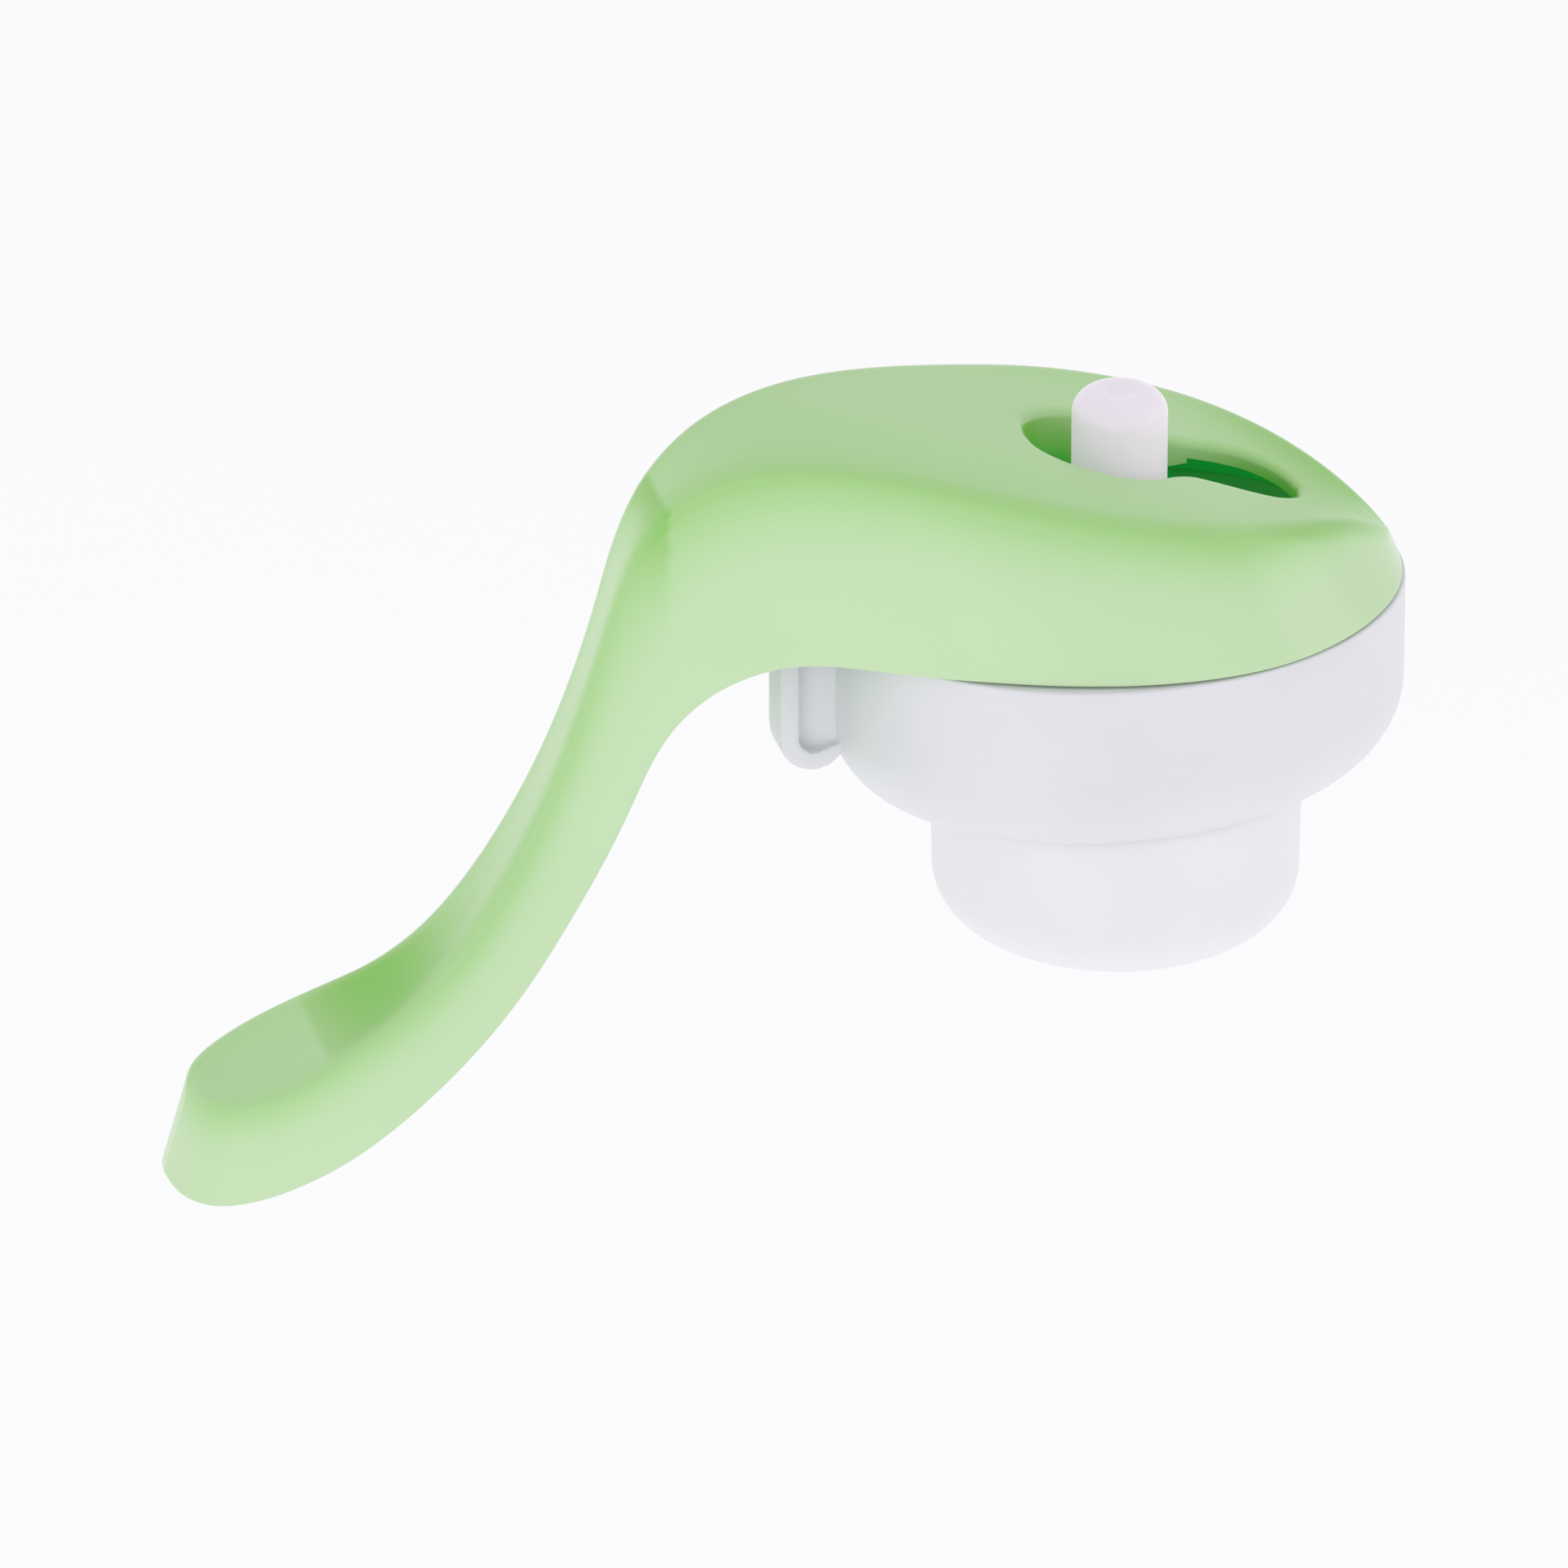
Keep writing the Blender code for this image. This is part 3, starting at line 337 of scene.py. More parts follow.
def turned(name, profile, closed=False, sides=ROUND_SIDES, axis="z", place=(0.0, 0.0, 0.0)):
    """Turn a profile of (radius, height) about an axis through place."""
    shape = bmesh.new()
    rows = list(profile) + ([profile[0]] if closed else [])
    rings = []
    for radius, height in rows:
        ring = []
        for k in range(sides):
            angle = 2 * math.pi * k / sides
            x = radius * math.cos(angle)
            y = radius * math.sin(angle)
            point = Vector((x, y, height)) if axis == "z" else Vector((x, -height, y))
            ring.append(shape.verts.new((point + Vector(place)) * MM))
        rings.append(ring)
    bridge(shape, rings)
    bmesh.ops.remove_doubles(shape, verts=shape.verts, dist=1e-6)
    bmesh.ops.dissolve_degenerate(shape, edges=shape.edges, dist=1e-7)
    return object_from(shape, name)


def flat_ring(name, inner, outer, low, high, edge, sides=SMALL_SIDES, **turning):
    """A turned ring with its four edges rounded off."""
    corners = [(inner, high, edge), (outer, high, edge), (outer, low, edge), (inner, low, edge)]
    return turned(name, rounded(corners, closed=True, steps=4), closed=True, sides=sides, **turning)


def prism(name, points, low, high, standing=False, floor_slope=None):
    """A flat outline made solid from low to high: in z, or in y when it stands upright."""
    shape = bmesh.new()
    rings = []
    for level in (low, high):
        ring = []
        for x, across in points:
            depth = level
            if floor_slope and level == high:
                depth = floor_slope(x)
            place = (x, depth, across) if standing else (x, across, depth)
            ring.append(shape.verts.new(Vector(place) * MM))
        rings.append(ring)
    bridge(shape, rings)
    shape.faces.new(rings[0])
    shape.faces.new(list(reversed(rings[1])))
    return object_from(shape, name)


def post(radius, low, high, x, y):
    """A plain upright cylinder, used only as a tool."""
    profile = [(0.0, high), (radius, high), (radius, low), (0.0, low)]
    return turned("tool_post", profile, sides=TOOL_SIDES, place=(x, y, 0.0))


def quarter_round(radius, steps):
    """(inset, drop) pairs down a rounded edge, without its first point."""
    angles = [math.pi / 2 * k / steps for k in range(1, steps + 1)]
    return [(radius * (1 - math.sin(a)), radius * (1 - math.cos(a))) for a in angles]


def mirrored(point):
    """The same point on the other side of the lever."""
    return Vector((point.x, -point.y, point.z))


def arc(cx, cy, radius, start, end, count):
    """Points on an arc, angles in degrees."""
    angles = [math.radians(start + (end - start) * i / count) for i in range(count + 1)]
    return [(cx + radius * math.cos(a), cy + radius * math.sin(a)) for a in angles]


def show(obj, body, slot, material, *nodes, smooth_angle=None):
    """Make the object a piece: smooth it, give it its material, ride and stand for CAD nodes."""
    obj.data.materials.clear()
    obj.data.materials.append(material)
    obj.data.shade_smooth()
    if smooth_angle:
        obj.data.set_sharp_from_angle(angle=math.radians(smooth_angle))
    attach(obj, body)
    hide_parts(*nodes)
    return obj


# ---- materials ----


def new_material(name, roughness, metallic=0.0):
    """A material with its node tree and its shader."""
    made = bpy.data.materials.new(name)
    made.use_nodes = True
    shader = made.node_tree.nodes["Principled BSDF"]
    shader.inputs["Roughness"].default_value = roughness
    shader.inputs["Metallic"].default_value = metallic
    return made, made.node_tree, shader


def noise(tree, scale, detail, stretch=(1.0, 1.0, 1.0)):
    """Noise in the piece's own coordinates; scale is in features to a metre."""
    where = tree.nodes.new("ShaderNodeTexCoord")
    mapping = tree.nodes.new("ShaderNodeMapping")
    mapping.inputs["Scale"].default_value = stretch
    texture = tree.nodes.new("ShaderNodeTexNoise")
    texture.inputs["Scale"].default_value = scale
    texture.inputs["Detail"].default_value = detail
    tree.links.new(where.outputs["Object"], mapping.inputs["Vector"])
    tree.links.new(mapping.outputs["Vector"], texture.inputs["Vector"])
    return texture.outputs["Fac"]


def remap(tree, value, low, high):
    """Spread a noise value between two ends."""
    node = tree.nodes.new("ShaderNodeMapRange")
    node.interpolation_type = "SMOOTHSTEP"
    node.inputs["From Min"].default_value = 0.2
    node.inputs["From Max"].default_value = 0.8
    node.inputs["To Min"].default_value = low
    node.inputs["To Max"].default_value = high
    tree.links.new(value, node.inputs["Value"])
    return node.outputs["Result"]


def mottle(tree, colour, shader, first, second, scale):
    """Multiply the colour by a faint noise between two tints."""
    mix = tree.nodes.new("ShaderNodeMix")
    mix.data_type = "RGBA"
    mix.inputs["A"].default_value = (*first, 1.0)
    mix.inputs["B"].default_value = (*second, 1.0)
    tree.links.new(remap(tree, noise(tree, scale, 3.0), 0.0, 1.0), mix.inputs["Factor"])
    if colour is None:
        tree.links.new(mix.outputs["Result"], shader.inputs["Base Color"])
        return
    multiply = tree.nodes.new("ShaderNodeMix")
    multiply.data_type = "RGBA"
    multiply.blend_type = "MULTIPLY"
    multiply.inputs["Factor"].default_value = 1.0
    tree.links.new(colour, multiply.inputs["A"])
    tree.links.new(mix.outputs["Result"], multiply.inputs["B"])
    tree.links.new(multiply.outputs["Result"], shader.inputs["Base Color"])


def grain(tree, shader, scale, strength, roughness, stretch=(1.0, 1.0, 1.0)):
    """A fine moulded texture: bump, and a roughness that wanders between two values."""
    fine = noise(tree, scale, 4.0, stretch)
    bump = tree.nodes.new("ShaderNodeBump")
    bump.inputs["Strength"].default_value = strength
    bump.inputs["Distance"].default_value = 0.00005
    tree.links.new(fine, bump.inputs["Height"])
    tree.links.new(bump.outputs["Normal"], shader.inputs["Normal"])
    wander = remap(tree, noise(tree, 90.0, 2.0, stretch), *roughness)
    tree.links.new(wander, shader.inputs["Roughness"])


# Painted shade of the lever: its colour on the bright flanks, painted darker over its top and
# rolled edge, down to the saturated dark of its shaded hollow, each at its place on the attribute
# of painted shade.
LEVER_SHADE_RAMP = [
    (0.00, (0.615, 0.800, 0.515)),
    (0.30, (0.490, 0.765, 0.365)),
    (0.55, (0.330, 0.605, 0.175)),
    (0.78, (0.170, 0.520, 0.060)),
    (1.00, (0.005, 0.330, 0.030)),
]
# Painted glow: emission that stands in for the light that comes through the thin wall of the hood
# and makes its hollow bright.
LEVER_PAINTED_GLOW = [
    (0.00, (0.0, 0.0, 0.0)),
    (0.50, (0.0, 0.0, 0.0)),
    (0.78, (0.020, 0.085, 0.008)),
    (1.00, (0.000, 0.125, 0.018)),
]


def colour_ramp(tree, value, stops):
    """Look a value up on a smooth ramp of (place, tone) stops."""
    ramp = tree.nodes.new("ShaderNodeValToRGB")
    ramp.color_ramp.interpolation = "B_SPLINE"
    ends = ramp.color_ramp.elements
    for element, (place, tone) in zip(ends, (stops[0], stops[-1])):
        element.position = place
        element.color = (*tone, 1.0)
    for place, tone in stops[1:-1]:
        ends.new(place).color = (*tone, 1.0)
    tree.links.new(value, ramp.inputs["Fac"])
    return ramp.outputs["Color"]


def lever_plastic():
    """Glossy green plastic, darkened by the painted shade that its attribute carries, with a
    painted glow in its hollow.
    """
    made, tree, shader = new_material("lever_gloss_green", 0.24)
    painted_shade = tree.nodes.new("ShaderNodeAttribute")
    painted_shade.attribute_name = "painted_shade"
    # Base colour from the ramp of painted shade
    tone = colour_ramp(tree, painted_shade.outputs["Fac"], LEVER_SHADE_RAMP)
    mottle(tree, tone, shader, (0.985, 0.99, 0.975), (1.0, 1.0, 1.0), 60.0)
    # Painted glow: emission in the hollow, keyed to the same attribute of painted shade
    painted_glow = colour_ramp(tree, painted_shade.outputs["Fac"], LEVER_PAINTED_GLOW)
    tree.links.new(painted_glow, shader.inputs["Emission Color"])
    shader.inputs["Emission Strength"].default_value = 1.0
    grain(tree, shader, 2500.0, 0.025, (0.20, 0.265))
    shader.inputs["Specular IOR Level"].default_value = 0.42
    shader.inputs["Coat Weight"].default_value = 0.1
    shader.inputs["Coat Roughness"].default_value = 0.15
    return made


def plain_plastic(name, dark, light, roughness, specular=0.5, painted_glow=None):
    """Plain moulded plastic; painted_glow is emission painted on in place of the light that comes
    through the wall in front of it.
    """
    made, tree, shader = new_material(name, roughness[0])
    shader.inputs["Specular IOR Level"].default_value = specular
    # Painted glow: emission that stands in for light through the wall
    if painted_glow:
        shader.inputs["Emission Color"].default_value = (*painted_glow, 1.0)
        shader.inputs["Emission Strength"].default_value = 1.0
    mottle(tree, None, shader, dark, light, 70.0)
    grain(tree, shader, 3200.0, 0.04, roughness)
    return made


def milky_silicone():
    """Soft, slightly see-through white."""
    made, tree, shader = new_material("milky_silicone", 0.45)
    mottle(tree, None, shader, (0.85, 0.835, 0.88), (0.885, 0.87, 0.91), 55.0)
    grain(tree, shader, 1800.0, 0.05, (0.42, 0.55))
    shader.inputs["Subsurface Weight"].default_value = 0.25
    shader.inputs["Subsurface Radius"].default_value = (0.0012, 0.0010, 0.0012)
    shader.inputs["Subsurface Scale"].default_value = 1.0
    shader.inputs["Sheen Weight"].default_value = 0.1
    return made


def stainless():
    """Stainless steel with a level grain, as if turned about the stem's axis."""
    made, tree, shader = new_material("stainless_steel", 0.3, 1.0)
    mottle(tree, None, shader, (0.52, 0.52, 0.54), (0.66, 0.66, 0.67), 220.0)
    grain(tree, shader, 1500.0, 0.12, (0.28, 0.42), stretch=(1.0, 1.0, 12.0))
    return made


# ---- lever body ----


def faired(rows, rounds):
    """Even out the curvature along the rows, leaving the two ends where they are."""
    for _ in range(rounds):
        middle = [(a + 2 * b + c) / 4 for a, b, c in zip(rows, rows[1:], rows[2:])]
        rows = [rows[0]] + middle + [rows[-1]]
    return rows


def inset_sections(sections, depth):
    """The same sections moved inwards by depth, along the outline as well as across it."""
    made = []
    last = len(sections) - 1
    for i, row in enumerate(sections):
        before = sections[max(i - 1, 0)]
        after = sections[min(i + 1, last)]
        moved = []
        for first in (0, 3):
            along = Vector((after[first] - before[first], after[first + 1] - before[first + 1]))
            widening = after[first + 2] - before[first + 2]
            if i == 0 or i == last:
                direction = 1.0 if i == 0 else -1.0
                shift = along.normalized() * depth * direction
                narrowing = 0.0
            else:
                slant = math.hypot(along.length, widening)
                shift = along.normalized() * depth * widening / slant
                narrowing = depth * along.length / slant
            moved.append((row[first] + shift.x, row[first + 1] + shift.y,
                          max(row[first + 2] - narrowing, 0.0)))
        top, low = moved
        down = Vector((low[0] - top[0], low[1] - top[1])).normalized() * depth
        made.append((top[0] + down.x, top[1] + down.y, top[2], *low))
    return made


def round_tip(sections):
    """Lower the top over its last stretch, so that the end of the paddle is rolled too."""
    tip = Vector(sections[0][:2])
    made = []
    for row in sections:
        top = Vector(row[:2])
        short = TIP_ROLL - (top - tip).length
        if short > 0:
            down = (Vector(row[3:5]) - top).normalized()
            top += down * (TIP_ROLL - math.sqrt(TIP_ROLL**2 - short**2))
        made.append((top.x, top.y, *row[2:]))
    return made


def half_section(row, roll, crown):
    """Half of a cross-section from the middle of its top to its lower edge, as 3-D points."""
    top = Vector((row[0], row[1]))
    low = Vector((row[3], row[4]))
    top_width, low_width = row[2], row[5]
    height = (low - top).length
    down = (low - top) / height
    roll = min(roll, 0.45 * top_width, 0.45 * height)
    top = top - down * ROLL_RISE * roll
    top_width += 0.1 * roll
    height += ROLL_RISE * roll
    flat = top_width - roll
    flare = (low_width - top_width) / height

    def lift(y):
        return crown * (1 - (y / top_width) ** 2) if top_width > 0 else 0.0

    across = [flat * k / TOP_POINTS for k in range(TOP_POINTS)]
    points = [(y, -lift(y)) for y in across]
    start = Vector((flat, -lift(flat)))
    corner = Vector((top_width + 0.25 * roll, -0.1 * roll))
    end = Vector((top_width + flare * roll, roll))
    rolled = [start] + curve_through(start, corner, end, ROLL_POINTS)
    points += [(p.x, p.y) for p in rolled]
    for k in range(1, SIDE_POINTS + 1):
        s = roll + (height - roll) * k / SIDE_POINTS
        points.append((top_width + flare * s, s))
    return [Vector((top.x + down.x * s, y, top.y + down.y * s + RIM_Z)) for y, s in points]


def skin_of(rows, roll):
    """The half-sections of one skin of the lever."""
    crowns = faired(smooth_path(list(enumerate(CROWNS)), LEVER_STEPS), FAIRING_ROUNDS)
    return [half_section(row, roll, crown.y) for row, crown in zip(rows, crowns)]


def loop_of(half):
    """The half-section and its mirror image as one run of points, near side to far side."""
    return [mirrored(p) for p in reversed(half)] + half[1:]


def wall_ring(outside, within):
    """The whole ring of one section of the shell, with its two lower edges rounded off."""
    across = within[-1] - outside[-1]
    edge = min(RIM_EDGE, 0.4 * across.length)
    if edge < 0.02:
        outer_rim = [outside[-1]] * (RIM_POINTS + 1)
        inner_rim = [within[-1]] * (RIM_POINTS + 1)
    else:
        across = across.normalized() * edge
        up_outer = (outside[-2] - outside[-1]).normalized() * edge
        up_inner = (within[-2] - within[-1]).normalized() * edge
        start = outside[-1] + up_outer
        outer_rim = [start] + curve_through(start, outside[-1], outside[-1] + across, RIM_POINTS)
        start = within[-1] - across
        inner_rim = [start] + curve_through(start, within[-1], within[-1] + up_inner, RIM_POINTS)
    half = outside[:-1] + outer_rim + inner_rim + list(reversed(within[:-1]))
    return half + [mirrored(p) for p in reversed(half[1:-1])]


def loft(name, rings, capped=True):
    """A closed solid through equal rings of points, which meet at its edges or are capped."""
    shape = bmesh.new()
    made = [[shape.verts.new(p * MM) for p in points] for points in rings]
    bridge(shape, made)
    if capped:
        shape.faces.new(list(reversed(made[0])))
        shape.faces.new(made[-1])
    bmesh.ops.remove_doubles(shape, verts=shape.verts, dist=MERGE)
    bmesh.ops.dissolve_degenerate(shape, edges=shape.edges, dist=MERGE)
    return object_from(shape, name)


def keyhole_outline():
    """The whole keyhole as (x, y) points with their outward directions."""
    half = smooth_path(KEYHOLE, 6)
    points = [Vector((p.x, p.y)) for p in half] + [Vector((p.x, -p.y)) for p in half[-2:0:-1]]
    count = len(points)
    outline = []
    for i, point in enumerate(points):
        along = (points[(i + 1) % count] - points[i - 1]).normalized()
        outline.append((point, Vector((-along.y, along.x))))
    return outline


def keyhole_tool(outer_skin):
    """Cutter whose upper edge flares over the sloping hood, so that the hole's lip is rolled."""
    tree = BVHTree.FromObject(outer_skin, bpy.context.evaluated_depsgraph_get())
    outline = keyhole_outline()
    # (offset, depth): the cutter starts clear of the skin, then follows the lip down.
    levels = [(LIP_RADIUS * 1.15, -3.0), (LIP_RADIUS * 1.02, -0.05)]
    levels += quarter_round(LIP_RADIUS, LIP_STEPS)
    shape = bmesh.new()
    rings = []
    for offset, depth in levels:
        ring = []
        for point, outwards in outline:
            place = point + outwards * offset
            above = Vector((place.x, place.y, RIM_Z + CLEAR)) * MM
            hit = tree.ray_cast(above, Vector((0, 0, -1)))[0]
            ring.append(shape.verts.new((place.x * MM, place.y * MM, hit.z - depth * MM)))
        rings.append(ring)
    floor = [shape.verts.new((p.x * MM, p.y * MM, (RIM_Z - 2.0) * MM)) for p, _ in outline]
    rings.append(floor)
    bridge(shape, rings)
    shape.faces.new(rings[0])
    shape.faces.new(list(reversed(floor)))
    return object_from(shape, "tool_keyhole")


def collar_tool(rows):
    """Collar round the stem under the hood, where it makes the wall of the keyhole deeper."""
    widened = []
    for x, half_width in [(p.x, p.y) for p in smooth_path(KEYHOLE[:COLLAR_POINTS], 6)]:
        out = Vector((x, half_width)).normalized() * COLLAR_WALL
        widened.append((x + out.x, half_width + out.y))
    widened += [(COLLAR_END, widened[-1][1]), (COLLAR_END, 0.0)]
    points = widened + [(x, -y) for x, y in reversed(widened[1:-1])]
    collar = prism("tool_collar", points, COLLAR_LOW, COLLAR_LOW + COLLAR_HEIGHT)
    covered = skin_of(inset_sections(rows, COLLAR_COVER), EDGE_ROLL)
    under_hood = loft("tool_collar_top", [loop_of(half) for half in covered])
    return combine(collar, under_hood, "INTERSECT")


def rib_tool():
    """The two centring ribs inside the rim: an oval ring cut down to its long sides."""
    outer = HOUSING_HALF_Y - WALL
    loose = outer - RIB_CLEARANCE
    inner = loose - RIB_WALL
    low = RIM_Z - RIB_DROP
    high = RIM_Z + RIB_RISE
    step = RIM_Z + GAP
    profile = rounded([(inner, high, 0), (outer, high, 0), (outer, step, 0), (loose, step, 0),
                       (loose, low, 0.3), (inner, low, 0.3)], closed=True, steps=3)
    ribs = turned("tool_ribs", profile, closed=True)
    stretch = (HOUSING_HALF_X - WALL - RIB_CLEARANCE) / loose
    for vertex in ribs.data.vertices:
        vertex.co.x = vertex.co.x * stretch + HOUSING_X * MM
    start, end = RIB_SPAN
    corners = [(start, -CLEAR), (end, -CLEAR), (end, CLEAR), (start, CLEAR)]
    return combine(ribs, prism("tool_span", corners, low - 1.0, high + 1.0), "INTERSECT")


# Painted shade of the lever's regions, and the places that part them.  A place counts the
# cross-sections of LEVER_SECTIONS from the tip.
# Painted shade of the top and of the rolled edge, over the flanks' own colour
TOP_SHADE = 0.30
ROLL_SHADE = 0.47
NOSE_START = 19.0             # from here to the nose the painted shade deepens
NOSE_SPAN = 2.5
NOSE_TOP_GAIN = 0.3
NOSE_ROLL_GAIN = 0.17
NOSE_ROLL_SHIFT = 7.0         # and its band of painted shade comes up over the edge, in points of the section
ARM_SHADE = 0.06
ARM_ROLL_SHADE = 0.38
NECK_X = -50.5                # where the top of the hood ends in a step of painted shade
PADDLE_PLACE = 4.65           # where the paddle meets the channel of the arm
CHANNEL_PLACE = 5.85          # the deepest painted shade of that channel
CHANNEL_SPAN = 1.7
CHANNEL_GAIN = 0.62
NECK_SPAN = 3.0               # reach of the deeper painted shade behind the neck, in millimetres
NECK_GAIN = 0.55
NECK_ROLL_GAIN = 0.26
# Even painted shade of the arm cover, and a little painted shade on the rim
COVER_SHADE = 0.34
RIM_SHADE = 0.12
ARM_HOLLOW_SHADE = 0.45        # painted shade of the arm's hollow, which has no painted glow as the hood's has
# Painted shade on the keyhole's walls and lip, deeper with depth under the skin
WALL_SHADE = 0.32
WALL_END_SHADE = 0.34          # painted shade added at the two ends of the keyhole
WALL_GAIN = 0.14
LIP_GAIN = 0.12
SKIN_REACH = 0.7              # a face this near the outer skin still counts as its lip
ROLL_WIDTH = 0.7
KEYHOLE_LOW = RIM_Z + 6.0
KEYHOLE_MIDDLE = (KEYHOLE[0][0] + KEYHOLE[-1][0]) / 2
KEYHOLE_REACH = (KEYHOLE[-1][0] - KEYHOLE[0][0]) / 2


def painted_shade_of(x, place, k):
    """Painted shade of a point of the outer skin, from its place along the lever and round the
    section.
    """
    nose = max(0.0, min((place - NOSE_START) / NOSE_SPAN, 1.0))
    roll_middle = TOP_POINTS + 0.75 * ROLL_POINTS - NOSE_ROLL_SHIFT * nose
    from_roll = (k - roll_middle) / (ROLL_WIDTH * ROLL_POINTS)
    edge = math.exp(-from_roll * from_roll)
    on_top = 1.0 if k < TOP_POINTS else max(0.0, 1.0 - (k - TOP_POINTS) / ROLL_POINTS)
    if place < PADDLE_PLACE:
        return TOP_SHADE * on_top * (1 - edge) + ARM_ROLL_SHADE * edge
    if x > NECK_X:
        top_tone = (TOP_SHADE + NOSE_TOP_GAIN * nose) * on_top
        return top_tone * (1 - edge) + (ROLL_SHADE + NOSE_ROLL_GAIN * nose) * edge
    channel = math.exp(-(((place - CHANNEL_PLACE) / CHANNEL_SPAN) ** 2))
    neck = math.exp(-(((NECK_X - x) / NECK_SPAN) ** 2))
    top_tone = (ARM_SHADE + CHANNEL_GAIN * channel + NECK_GAIN * neck) * on_top
    return top_tone * (1 - edge) + max(ARM_ROLL_SHADE + NECK_ROLL_GAIN * neck, top_tone) * edge


def paint_lever_shade(body, samples, skin, hollow):
    """Paint shade on each corner of each face: outer skin by its place, then cut walls, then the
    hollow.
    """
    places = KDTree(len(samples))
    for i, (point, _) in enumerate(samples):
        places.insert(point * MM, i)
    places.balance()
    depsgraph = bpy.context.evaluated_depsgraph_get()
    outer_tree = BVHTree.FromObject(skin, depsgraph)
    inner_tree = BVHTree.FromObject(hollow, depsgraph)
    mesh = body.data
    depths = [outer_tree.find_nearest(vertex.co)[3] / MM for vertex in mesh.vertices]
    tones = [samples[places.find(vertex.co)[1]][1] for vertex in mesh.vertices]
    values = [0.0] * len(mesh.loops)
    for face in mesh.polygons:
        to_outer = outer_tree.find_nearest(face.center)[3] / MM
        to_inner = inner_tree.find_nearest(face.center)[3] / MM
        in_keyhole = face.center.z > KEYHOLE_LOW * MM
        for loop in face.loop_indices:
            vertex = mesh.loops[loop].vertex_index
            # Skin: its painted shade, deepened on the lip with depth under the skin
            if to_outer < SKIN_REACH and to_outer < to_inner:
                tone = tones[vertex] + LIP_GAIN * min(depths[vertex], SKIN_REACH)
            # Keyhole walls: painted shade, deeper with depth and towards the two ends of the
            # keyhole
            elif in_keyhole and abs(face.normal.z) < 0.6:
                along = (mesh.vertices[vertex].co.x / MM - KEYHOLE_MIDDLE) / KEYHOLE_REACH
                tone = WALL_SHADE + WALL_END_SHADE * along**2
                tone += WALL_GAIN * (0.3 + along**2) * max(depths[vertex] - SKIN_REACH, 0.0)
            # Hollow: darkest painted shade with the painted glow in the hood; the arm's hollow
            # lighter and without glow
            elif in_keyhole or to_inner < 0.05:
                tone = 1.0 if face.center.x > NECK_X * MM else ARM_HOLLOW_SHADE
            # Rim and the other cut faces: a little painted shade
            else:
                tone = RIM_SHADE
            values[loop] = min(tone, 1.0)
    attribute = mesh.attributes.new("painted_shade", "FLOAT", "CORNER")
    attribute.data.foreach_set("value", values)


def make_lever_body(material):
    """Hood, neck, arm and paddle in one shell, with the keyhole, its collar, ribs and bosses."""
    rows = faired(smooth_path(LEVER_SECTIONS, LEVER_STEPS), FAIRING_ROUNDS)
    outer = skin_of(round_tip(rows), EDGE_ROLL)
    inner = skin_of(inset_sections(rows, WALL), EDGE_ROLL / 2)
    skin = loft("tool_skin", [loop_of(half) for half in outer])
    hollow = loft("tool_hollow", [loop_of(half) for half in inner])
    rings = [wall_ring(outside, within) for outside, within in zip(outer, inner)]
    body = loft("lever_body", rings, capped=False)
    combine(body, rib_tool(), "UNION")
    combine(body, collar_tool(rows), "UNION")
    combine(body, keyhole_tool(skin), "DIFFERENCE")
    for (x, y), top in zip(FRAME_SCREWS, FRAME_BOSS_TOPS):
        combine(body, post(BOSS_RADIUS, FORK_TOP_Z + GAP, RIM_Z + top, x, y), "UNION")
    for x, y in FRAME_SCREWS:
        combine(body, post(HOLE_RADIUS, FORK_TOP_Z - 1.0, RIM_Z + 11.6, x, y), "DIFFERENCE")
    # Painted shade of every point of the outer skin, by its place along the lever
    samples = []
    for i, outside in enumerate(outer):
        for k, point in enumerate(outside):
            tone = painted_shade_of(point.x, i / LEVER_STEPS, k)
            samples += [(point, tone), (mirrored(point), tone)]
    paint_lever_shade(body, samples, skin, hollow)
    discard(skin)
    discard(hollow)
    return show(body, "lever", "lever_green", material, "lever_shell", smooth_angle=40)


def make_arm_cover(material):
    """Closes the hollow underside of the arm from the paddle to the neck."""
    rows = faired(smooth_path(LEVER_SECTIONS, LEVER_STEPS), FAIRING_ROUNDS)
    rows = inset_sections(rows, WALL + COVER_GAP)[:COVER_LAST * LEVER_STEPS + 1]
    rings = []
    for row in rows:
        top = Vector((row[0], row[1]))
        low = Vector((row[3], row[4]))
        height = (low - top).length
        up = (top - low) / height
        ring = []
        for depth, side in ((COVER_DEPTHS[0], -1), (COVER_DEPTHS[0], 1), (COVER_DEPTHS[1], 1),
                            (COVER_DEPTHS[1], -1)):
            half = row[5] + (row[2] - row[5]) * depth / height
            point = low + up * depth
            ring.append(Vector((point.x, side * half, point.y + RIM_Z)))
        rings.append(ring)
    cover = remesh(loft("arm_cover_plate", rings), 4)
    # One even painted shade over the whole cover, from the lever's ramp
    attribute = cover.data.attributes.new("painted_shade", "FLOAT", "POINT")
    attribute.data.foreach_set("value", [COVER_SHADE] * len(cover.data.vertices))
    return show(cover, "lever", "lever_green", material, "arm_cover")


def softened_copy(node, name, body, slot, material, rounds=5):
    """A CAD node rebuilt on a fine grid, so that its edges are rounded as moulded."""
    copy = placed(name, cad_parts[node].data.copy())
    shape = bmesh.new()
    shape.from_mesh(copy.data)
    bmesh.ops.remove_doubles(shape, verts=shape.verts, dist=1e-6)
    shape.to_mesh(copy.data)
    shape.free()
    remesh(copy, rounds)
    return show(copy, body, slot, material, node)


# ---- housing ----


